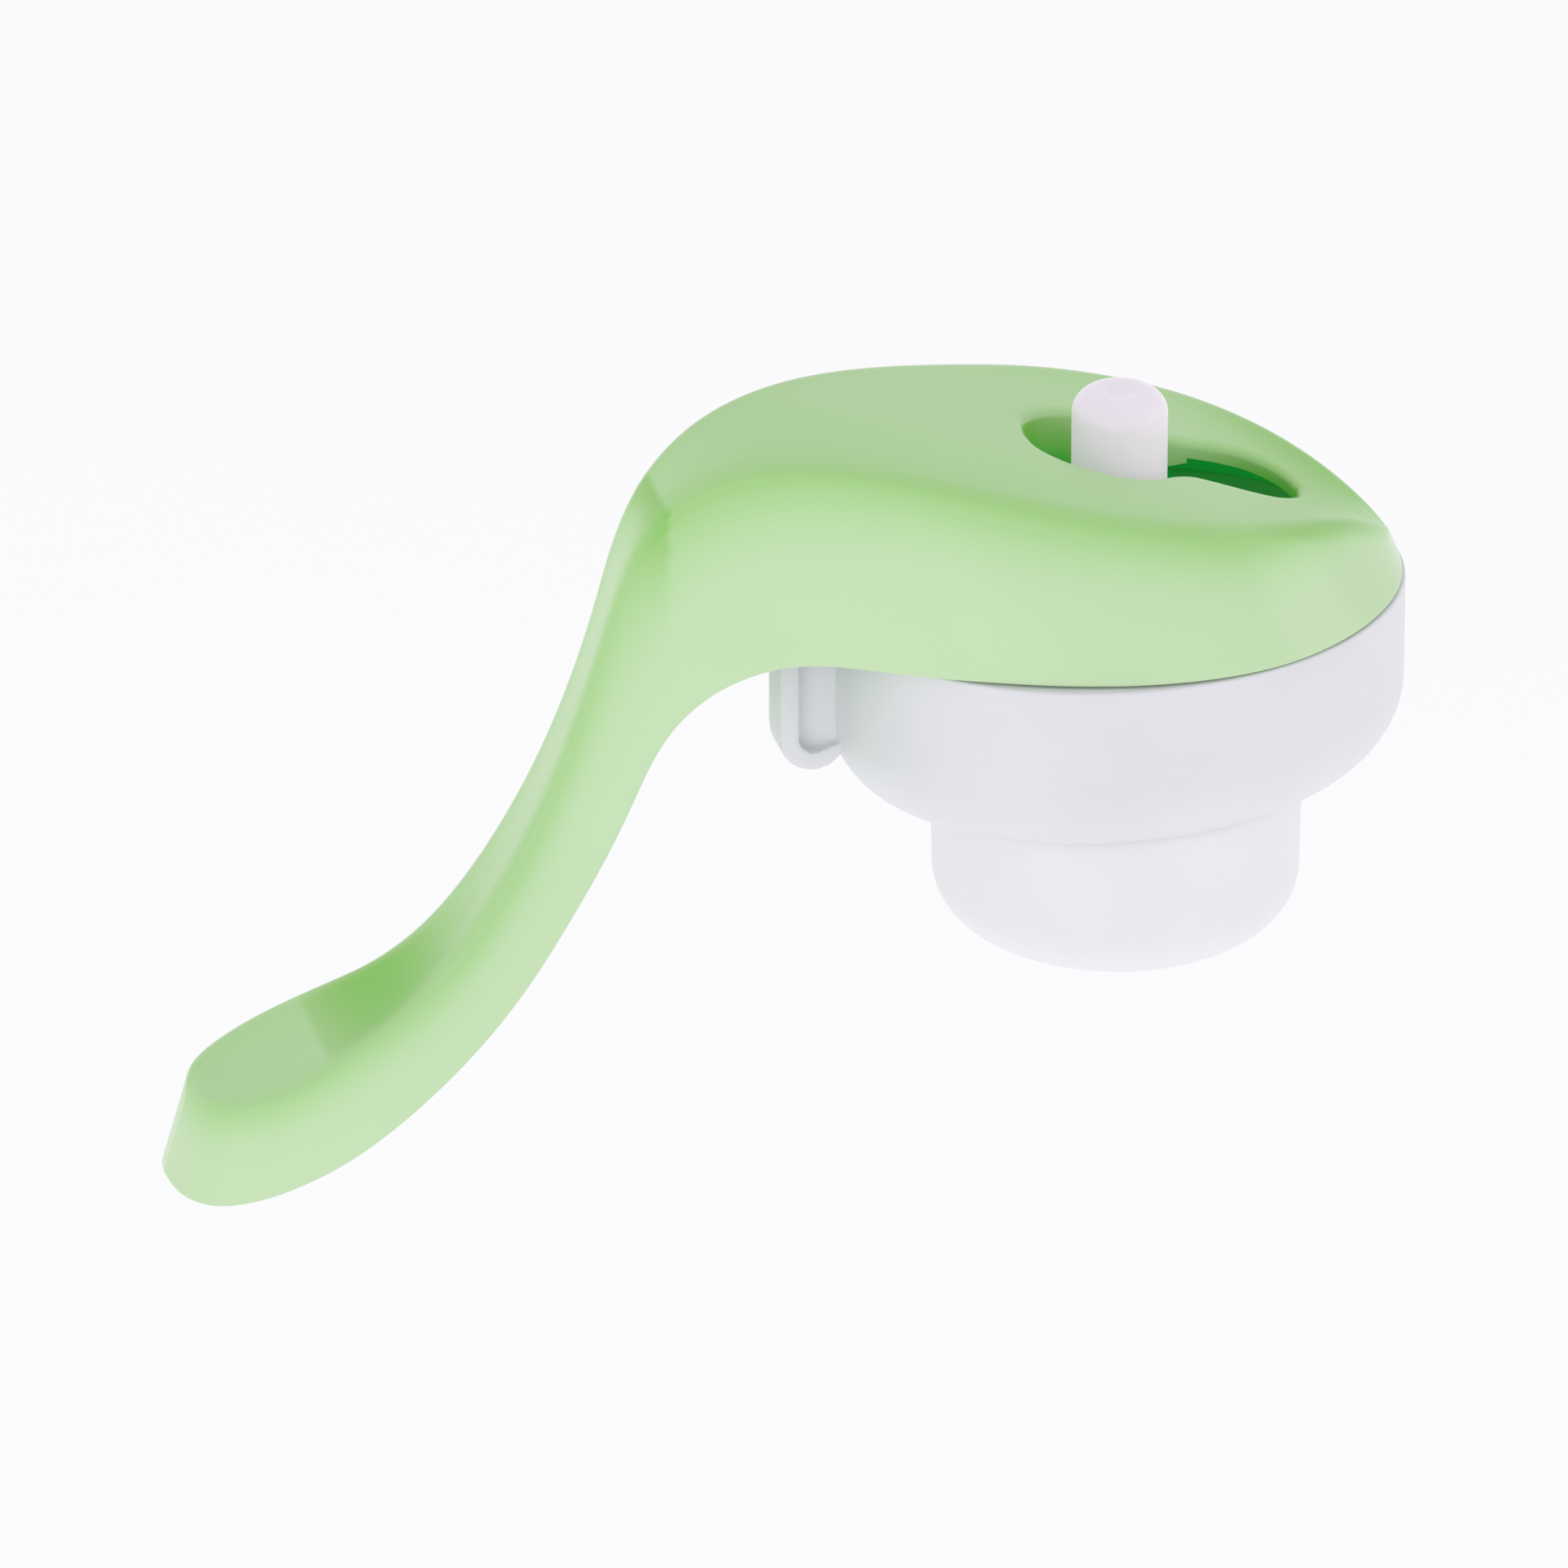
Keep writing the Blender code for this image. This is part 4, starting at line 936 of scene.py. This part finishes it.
def oval_tub(name, half_x, half_y, low, high, fillet, lean):
    """An oval block whose lower edge is rounded off and leans towards the arm."""
    shape = bmesh.new()
    levels = [(RIM_EDGE, high)]
    levels += [(inset, high - drop) for inset, drop in quarter_round(RIM_EDGE, RIM_POINTS)]
    straight = low + fillet - high + RIM_EDGE
    levels += [(0.0, high - RIM_EDGE + straight * k / 8) for k in range(1, 9)]
    levels += [(drop, low + inset) for inset, drop in quarter_round(fillet, FILLET_STEPS)]
    rings = []
    for inset, z in levels:
        depth = max(low + fillet - z, 0.0) / fillet
        ring = []
        for i in range(ROUND_SIDES):
            angle = 2 * math.pi * i / ROUND_SIDES
            normal = Vector((math.cos(angle) / half_x, math.sin(angle) / half_y)).normalized()
            x = half_x * math.cos(angle) - normal.x * inset
            y = half_y * math.sin(angle) - normal.y * inset
            ring.append(shape.verts.new(Vector((x + HOUSING_X - lean * depth**2, y, z)) * MM))
        rings.append(ring)
    bridge(shape, rings)
    shape.faces.new(rings[0])
    shape.faces.new(list(reversed(rings[-1])))
    return object_from(shape, name)


def bracket_points(inset):
    """Side view of the hinge bracket and its lug, x and z, shrunk by inset on its free edges."""
    left = BRACKET_LEFT + inset
    low = BRACKET_LOW + inset
    corner = (BRACKET_RIGHT - BRACKET_LEFT) / 2 - inset
    centre = (BRACKET_LEFT + BRACKET_RIGHT) / 2
    inside = BRACKET_RIGHT + 1.5
    points = arc(centre, low + corner, corner, 180, 300, 14)
    points += [(inside, low + corner)]
    if inset:
        shoulder = HINGE_Z - BRACKET_BOSS - 2.0
        return points + [(inside, shoulder), (left, shoulder)]
    points += [(inside, RIM_Z - 5.0), (HINGE_X + BRACKET_BOSS, RIM_Z)]
    points += arc(HINGE_X, HINGE_Z, BRACKET_BOSS, 0, 150, 16)
    return points + [(left, RIM_Z)]


def make_housing(material):
    """Oval bowl with the hinge bracket, the mouth for the cup and the guide's screw bosses."""
    bowl = oval_tub("housing", HOUSING_HALF_X, HOUSING_HALF_Y, 0.0, HOUSING_TOP, HOUSING_FILLET,
                    HOUSING_LEAN)
    bracket = prism("tool_bracket", bracket_points(0.0), -BRACKET_HALF, BRACKET_HALF, True)
    reach = BRACKET_RIGHT - BRACKET_LEFT - BRACKET_STRIP
    for side in (-1, 1):
        def slope(x):
            share = min(max((x - BRACKET_LEFT - BRACKET_STRIP) / reach, 0.0), 1.0)
            return side * (BRACKET_WEB + (BRACKET_HALF - BRACKET_WEB) * share**2)

        pocket = prism("tool_pocket", bracket_points(BRACKET_STRIP), side * 6.0,
                       side * BRACKET_WEB, True, slope)
        combine(bracket, pocket, "DIFFERENCE")
    remesh(bracket, 5)
    combine(bowl, bracket, "UNION")
    hollow = oval_tub("tool_hollow", HOUSING_HALF_X - WALL, HOUSING_HALF_Y - WALL, FLOOR_Z,
                      RIM_Z + 5.0, HOUSING_HOLLOW_FILLET, HOUSING_LEAN)
    combine(bowl, hollow, "DIFFERENCE")
    combine(bowl, post(FLANGE_RADIUS + GAP, FLOOR_Z, RIM_Z - 8.0, 0.0, 0.0), "DIFFERENCE")
    combine(bowl, post(MOUTH_RADIUS, -5.0, FLOOR_Z + 3.0, 0.0, 0.0), "DIFFERENCE")
    for x, y in GUIDE_SCREWS:
        combine(bowl, post(GUIDE_BOSS_RADIUS, FLOOR_Z - 1.0, GUIDE_LOW_Z - GAP, x, y), "UNION")
    for x, y in GUIDE_SCREWS:
        combine(bowl, post(HOLE_RADIUS, GUIDE_LOW_Z - 7.0, RIM_Z, x, y), "DIFFERENCE")
    bore = turned("tool_bore", [(0.0, 9.0), (PIN_BORE, 9.0), (PIN_BORE, -9.0), (0.0, -9.0)],
                  sides=TOOL_SIDES, axis="y", place=(HINGE_X, 0.0, HINGE_Z))
    combine(bowl, bore, "DIFFERENCE")
    return show(bowl, "housing", "housing_white", material, "housing_bowl", smooth_angle=35)


def make_cup(material):
    """Silicone cup: flange on the ledge, wall through the mouth, flat floor."""
    low = -CUP_DROP
    foot = CUP_RADIUS - CUP_TAPER
    inner = foot - CUP_WALL
    inner_fillet = CUP_FILLET - CUP_WALL
    profile = [(0.0, low + CUP_FLOOR), (inner * 0.5, low + CUP_FLOOR)]
    profile += arc(inner - inner_fillet, low + CUP_FLOOR + inner_fillet, inner_fillet, -90, 0, 12)
    profile += rounded([
        (inner, low + CUP_FLOOR + inner_fillet, 0), (CUP_RADIUS - CUP_WALL, FLANGE_HIGH, 0.5),
        (FLANGE_RADIUS, FLANGE_HIGH, 0.4), (FLANGE_RADIUS, FLANGE_LOW, 0.4),
        (CUP_RADIUS, FLANGE_LOW, 0.25), (foot, low + CUP_FILLET, 0),
    ])[1:-1]
    span = FLANGE_LOW - 0.5 - low - CUP_FILLET
    for k in range(1, CUP_WALL_STEPS):
        share = k / CUP_WALL_STEPS
        profile.append((CUP_RADIUS - CUP_TAPER * share, FLANGE_LOW - 0.5 - span * share))
    profile += arc(foot - CUP_FILLET, low + CUP_FILLET, CUP_FILLET, 0, -90, 20)
    profile += [(foot * 0.35, low), (0.0, low)]
    cup = show(turned("suction_cup", profile), "housing", "silicone", material, "diaphragm")
    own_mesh(cup)


# ---- stem, spring ----


def make_stem(white, acetal, steel):
    """Domed cap with a shallow dimple, its rod, the piston disc, clip and spring seat."""
    dome = [(0.0, CAP_TOP_Z - 0.75), (0.7, CAP_TOP_Z - 0.72), (1.3, CAP_TOP_Z - 0.45),
            (1.75, CAP_TOP_Z - 0.08), (2.1, CAP_TOP_Z - 0.02)]
    edge = CAP_RADIUS - DIMPLE_RADIUS
    for inset, drop in quarter_round(1.0, FILLET_STEPS):
        dome.append((CAP_RADIUS - edge * inset, CAP_TOP_Z - CAP_DOME * drop))
    skirt = [(CAP_RADIUS, CAP_TOP_Z - CAP_DOME - 9.0 * k / 8) for k in range(1, 8)]
    base = rounded([
        (CAP_RADIUS, CAP_TOP_Z - 11.0, 0), (CAP_RADIUS, SHOULDER_Z, 0.35),
        (SPIGOT_RADIUS + SPIGOT_PLAY, SHOULDER_Z, 0.2),
        (SPIGOT_RADIUS + SPIGOT_PLAY, CAP_TOP_Z - 4.3, 0.2),
        (0.0, CAP_TOP_Z - 4.3, 0),
    ])
    cap = turned("stem_knob", dome + skirt + base)
    show(cap, "stem", "housing_white", white, "stem_cap")
    low = DISC_TOP_Z + 0.1
    rod = turned("stem_shaft", rounded([
        (0.0, CAP_TOP_Z - 4.6, 0), (SPIGOT_RADIUS, CAP_TOP_Z - 4.6, 0.4),
        (SPIGOT_RADIUS, SHOULDER_Z - 0.3, 0.1), (ROD_RADIUS, SHOULDER_Z - 0.3, 0.3),
        (ROD_RADIUS, low, 0.3), (SPIGOT_RADIUS, low, 0.1),
        (SPIGOT_RADIUS, DISC_TOP_Z - 2.9, 0.4), (0.0, DISC_TOP_Z - 2.9, 0),
    ]), sides=SMALL_SIDES)
    show(rod, "stem", "acetal", acetal, "stem_rod")
    disc = flat_ring("piston", SPIGOT_RADIUS + SPIGOT_PLAY, DISC_RADIUS,
                     DISC_TOP_Z - DISC_THICK, DISC_TOP_Z, 0.5, sides=ROUND_SIDES)
    show(disc, "stem", "acetal", acetal, "piston_disc")
    clip = flat_ring("piston_retainer", SPIGOT_RADIUS + RUNNING_FIT, CLIP_RADIUS,
                     DISC_TOP_Z - 2.75, DISC_TOP_Z - 2.1, 0.12)
    show(clip, "stem", "steel", steel, "piston_clip")
    seat = flat_ring("spring_seat_low", ROD_RADIUS + 0.2, SEAT_RADIUS,
                     DISC_TOP_Z + PLAY, DISC_TOP_Z + SEAT_DEPTH, 0.15)
    show(seat, "stem", "steel", steel, "spring_seat_lower")


def make_spring(steel):
    """Coil with closed end turns, from the seat on the piston up to the guide plate."""
    high = GUIDE_LOW_Z - SEAT_DEPTH - SPRING_WIRE - PLAY
    low = DISC_TOP_Z + SEAT_DEPTH + SPRING_WIRE + PLAY
    curve = bpy.data.curves.new("coil", "CURVE")
    curve.dimensions = "3D"
    curve.bevel_depth = SPRING_WIRE * MM
    curve.bevel_resolution = 4
    curve.use_fill_caps = True
    spline = curve.splines.new("POLY")
    spline.points.add(SPRING_TURNS * SPRING_STEPS)
    for i, point in enumerate(spline.points):
        turn = i / SPRING_STEPS
        rise = min(max((turn - 0.5) / (SPRING_TURNS - 1.0), 0.0), 1.0)
        closed = 0.5 * (min(turn, 1.0) + max(turn - SPRING_TURNS + 1.0, 0.0))
        z = low + closed + (high - low - 1.0) * rise
        angle = 2 * math.pi * turn
        point.co = (SPRING_RADIUS * math.cos(angle) * MM, SPRING_RADIUS * math.sin(angle) * MM,
                    z * MM, 1.0)
    path = placed("coil_path", curve)
    spring = placed("return_coil", final_mesh(path))
    discard(path)
    show(spring, "housing", "steel", steel, "return_spring")
    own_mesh(spring)
    seat = flat_ring("spring_seat_high", 6.3, SEAT_RADIUS, GUIDE_LOW_Z - SEAT_DEPTH,
                     GUIDE_LOW_Z - PLAY, 0.15)
    show(seat, "housing", "steel", steel, "spring_seat_upper")


def make_bush(material):
    """Plain bush of the stem, with a collar on top of the guide's tube."""
    bore = ROD_RADIUS + RUNNING_FIT
    low = TUBE_HIGH_Z + 0.15
    corners = [
        (bore, low + 1.0, 0.25), (5.6, low + 1.0, 0.3), (5.6, low, 0.2),
        (4.3, low, 0.1), (4.3, TUBE_LOW_Z, 0.2), (bore, TUBE_LOW_Z, 0.2),
    ]
    bush = turned("stem_bush", rounded(corners, closed=True, steps=4), closed=True,
                  sides=SMALL_SIDES)
    show(bush, "housing", "acetal", material, "guide_bush")


# ---- hinge and screws ----


def make_hinge(steel, acetal):
    """Pin with chamfered ends through both ears, two clips outside and two washers between."""
    bore = PIN_RADIUS + RUNNING_FIT
    pin = turned("hinge_axle", rounded([
        (0.0, PIN_HALF, 0), (PIN_RADIUS, PIN_HALF, 0.35), (PIN_RADIUS, -PIN_HALF, 0.35),
        (0.0, -PIN_HALF, 0),
    ]), sides=SMALL_SIDES, axis="y", place=(HINGE_X, 0.0, HINGE_Z))
    show(pin, "lever", "steel", steel, "hinge_pin")
    for side, label in ((-1, "near"), (1, "far")):
        clip = flat_ring(f"axle_clip_{label}", bore, 3.0, -0.4, 0.4, 0.12, axis="y",
                         place=(HINGE_X, side * (EAR_OUTER + 0.6), HINGE_Z))
        show(clip, "lever", "steel", steel, f"pin_clip_{label}")
        washer = flat_ring(f"axle_washer_{label}", bore, 4.0, -0.25, 0.25, 0.1, axis="y",
                           place=(HINGE_X, side * (BRACKET_HALF + 0.4), HINGE_Z))
        show(washer, "housing", "acetal", acetal, f"hinge_washer_{label}")


def make_screw(name, x, y, seat, length, downwards, body, steel, node):
    """Pan-head screw with a cross recess and the ridges of its thread."""
    root = SHANK_RADIUS - 0.25
    profile = rounded([
        (0.0, length, 0), (SHANK_RADIUS - 0.5, length, 0.1),
        (SHANK_RADIUS - 0.15, length - 0.8, 0.1),
    ])[:-1]
    ridges = int((length - 1.2) / THREAD_PITCH)
    for k in range(ridges):
        z = length - 0.9 - THREAD_PITCH * k
        profile += [(root, z), (SHANK_RADIUS, z - 0.2), (root, z - 0.4)]
    profile += rounded([
        (root, 0.3, 0), (root, 0.0, 0.1), (HEAD_RADIUS, 0.0, 0.15),
        (HEAD_RADIUS, -HEAD_HEIGHT, 0.6), (0.0, -HEAD_HEIGHT, 0),
    ])
    head = turned(name, profile, sides=SMALL_SIDES)
    slot = [(-1.35, -0.28), (1.35, -0.28), (1.35, 0.28), (-1.35, 0.28)]
    for points in (slot, [(b, a) for a, b in slot]):
        combine(head, prism("tool_cross", points, -HEAD_HEIGHT - 1.0, -0.55), "DIFFERENCE")
    flip = -1.0 if downwards else 1.0
    for vertex in head.data.vertices:
        vertex.co = (vertex.co.x + x * MM, vertex.co.y * flip + y * MM,
                     vertex.co.z * flip + seat * MM)
    show(head, body, "steel", steel, node, smooth_angle=35)


def make_screws(steel):
    """Four screws up through the fork, and six down into the housing."""
    seat = FORK_TOP_Z - FORK_THICK - PLAY
    for i, (x, y) in enumerate(FRAME_SCREWS, 1):
        make_screw(f"fork_screw_{i}", x, y, seat, 5.4, False, "lever", steel, f"frame_screw_{i}")
    for i, (x, y) in enumerate(GUIDE_SCREWS, 1):
        make_screw(f"plate_screw_{i}", x, y, GUIDE_TOP_Z + PLAY, 7.0, True, "housing", steel,
                   f"guide_screw_{i}")
    for i, x in enumerate(CLAMP_SCREWS, 1):
        make_screw(f"ring_screw_{i}", x, 0.0, CLAMP_HIGH + PLAY, 5.0, True, "housing", steel,
                   f"clamp_screw_{i}")


# ---- floor, light, camera ----


# Camera, floor and lights are placed in metres.
AIM = Vector((-0.03694, -0.0007, 0.00285))
AZIMUTH = math.radians(-15.0)
ELEVATION = math.radians(28.0)
LENS = 400.0
SENSOR = 36.0
FRAME_WIDTH = 0.1666          # what the picture spans at the aim point
FLOOR_DROP = 0.22
FLOOR_SIZE = 12.0
LAMP_DISTANCE = 0.9


def direction(azimuth, elevation):
    """Unit vector from the object towards a viewer at these angles."""
    return Vector((
        math.sin(azimuth) * math.cos(elevation),
        -math.cos(azimuth) * math.cos(elevation),
        math.sin(elevation),
    ))


def make_camera():
    """A long lens, so that the view is nearly parallel."""
    data = bpy.data.cameras.new("camera")
    data.lens = LENS
    data.sensor_width = SENSOR
    data.clip_start = 0.05
    data.clip_end = 50.0
    camera = placed("camera", data)
    back = direction(AZIMUTH, ELEVATION)
    camera.location = AIM + back * FRAME_WIDTH * LENS / SENSOR
    camera.rotation_mode = "QUATERNION"
    camera.rotation_quaternion = (-back).to_track_quat("-Z", "Y")
    bpy.context.scene.camera = camera


def softbox(name, azimuth, elevation, size, radiance):
    """A square panel of even brightness that faces the object."""
    data = bpy.data.lights.new(name, "AREA")
    data.shape = "SQUARE"
    data.size = size
    data.energy = radiance * math.pi * size * size
    lamp = placed(name, data)
    towards = direction(math.radians(azimuth), math.radians(elevation))
    lamp.location = towards * LAMP_DISTANCE
    lamp.rotation_mode = "QUATERNION"
    lamp.rotation_quaternion = towards.to_track_quat("Z", "Y")


def make_studio():
    """Even white surroundings with three soft panels."""
    world = bpy.data.worlds.new("studio")
    world.use_nodes = True
    background = world.node_tree.nodes["Background"]
    background.inputs["Color"].default_value = (0.985, 0.985, 1.0, 1.0)
    background.inputs["Strength"].default_value = 0.80
    bpy.context.scene.world = world
    bpy.context.scene.view_settings.view_transform = "Standard"
    softbox("front_panel", -40.0, 10.0, 0.7, 0.50)
    softbox("right_panel", 72.0, 13.0, 0.5, 0.70)
    softbox("left_panel", 235.0, 6.0, 0.5, 0.15)


def make_floor():
    """A pale floor far enough below the object to take no shadow from it."""
    bpy.ops.mesh.primitive_grid_add(x_subdivisions=8, y_subdivisions=8, size=FLOOR_SIZE)
    floor = bpy.context.object
    floor.name = "floor"
    floor.location.z = CAD_BOX[0].z - FLOOR_DROP
    made, tree, shader = new_material("pale_floor", 0.9)
    mottle(tree, None, shader, (0.93, 0.93, 0.935), (0.945, 0.945, 0.95), 3.0)
    shader.inputs["Specular IOR Level"].default_value = 0.1
    shader.inputs["Emission Color"].default_value = (1.0, 1.0, 1.0, 1.0)
    shader.inputs["Emission Strength"].default_value = 0.2
    floor.data.materials.append(made)


# ---- main ----


def main():
    """Make the materials, then the studio, then every piece."""
    green = lever_plastic()
    # Fork and guide plate: green plastic, darkened with painted shade of the hood's inside, and
    # given a painted glow
    green_painted_dark = plain_plastic("green_plastic_painted_dark", (0.003, 0.20, 0.028), (0.006, 0.23, 0.034),
                               (0.3, 0.42), specular=0.25, painted_glow=(0.0, 0.155, 0.026))
    white = plain_plastic("satin_white_plastic", (0.765, 0.765, 0.805), (0.80, 0.80, 0.835),
                          (0.32, 0.42))
    # Knob: a darker white with a painted glow that stands in for light through its thin wall
    knob_white = plain_plastic("knob_white_plastic", (0.48, 0.45, 0.49), (0.51, 0.48, 0.52),
                               (0.3, 0.4), painted_glow=(0.37, 0.335, 0.375))
    acetal = plain_plastic("acetal", (0.76, 0.76, 0.74), (0.81, 0.81, 0.79), (0.29, 0.36))
    silicone = milky_silicone()
    steel = stainless()

    make_camera()
    make_studio()
    make_floor()
    make_lever_body(green)
    make_arm_cover(green)
    softened_copy("lever_frame", "lever_fork", "lever", "frame_green", green_painted_dark)
    softened_copy("guide_plate", "stem_guide", "housing", "frame_green", green_painted_dark, 3)
    softened_copy("clamp_ring", "cup_clamp", "housing", "acetal", acetal, 3)
    make_hinge(steel, acetal)
    make_screws(steel)
    make_housing(white)
    make_cup(silicone)
    make_bush(acetal)
    make_stem(knob_white, acetal, steel)
    make_spring(steel)


main()
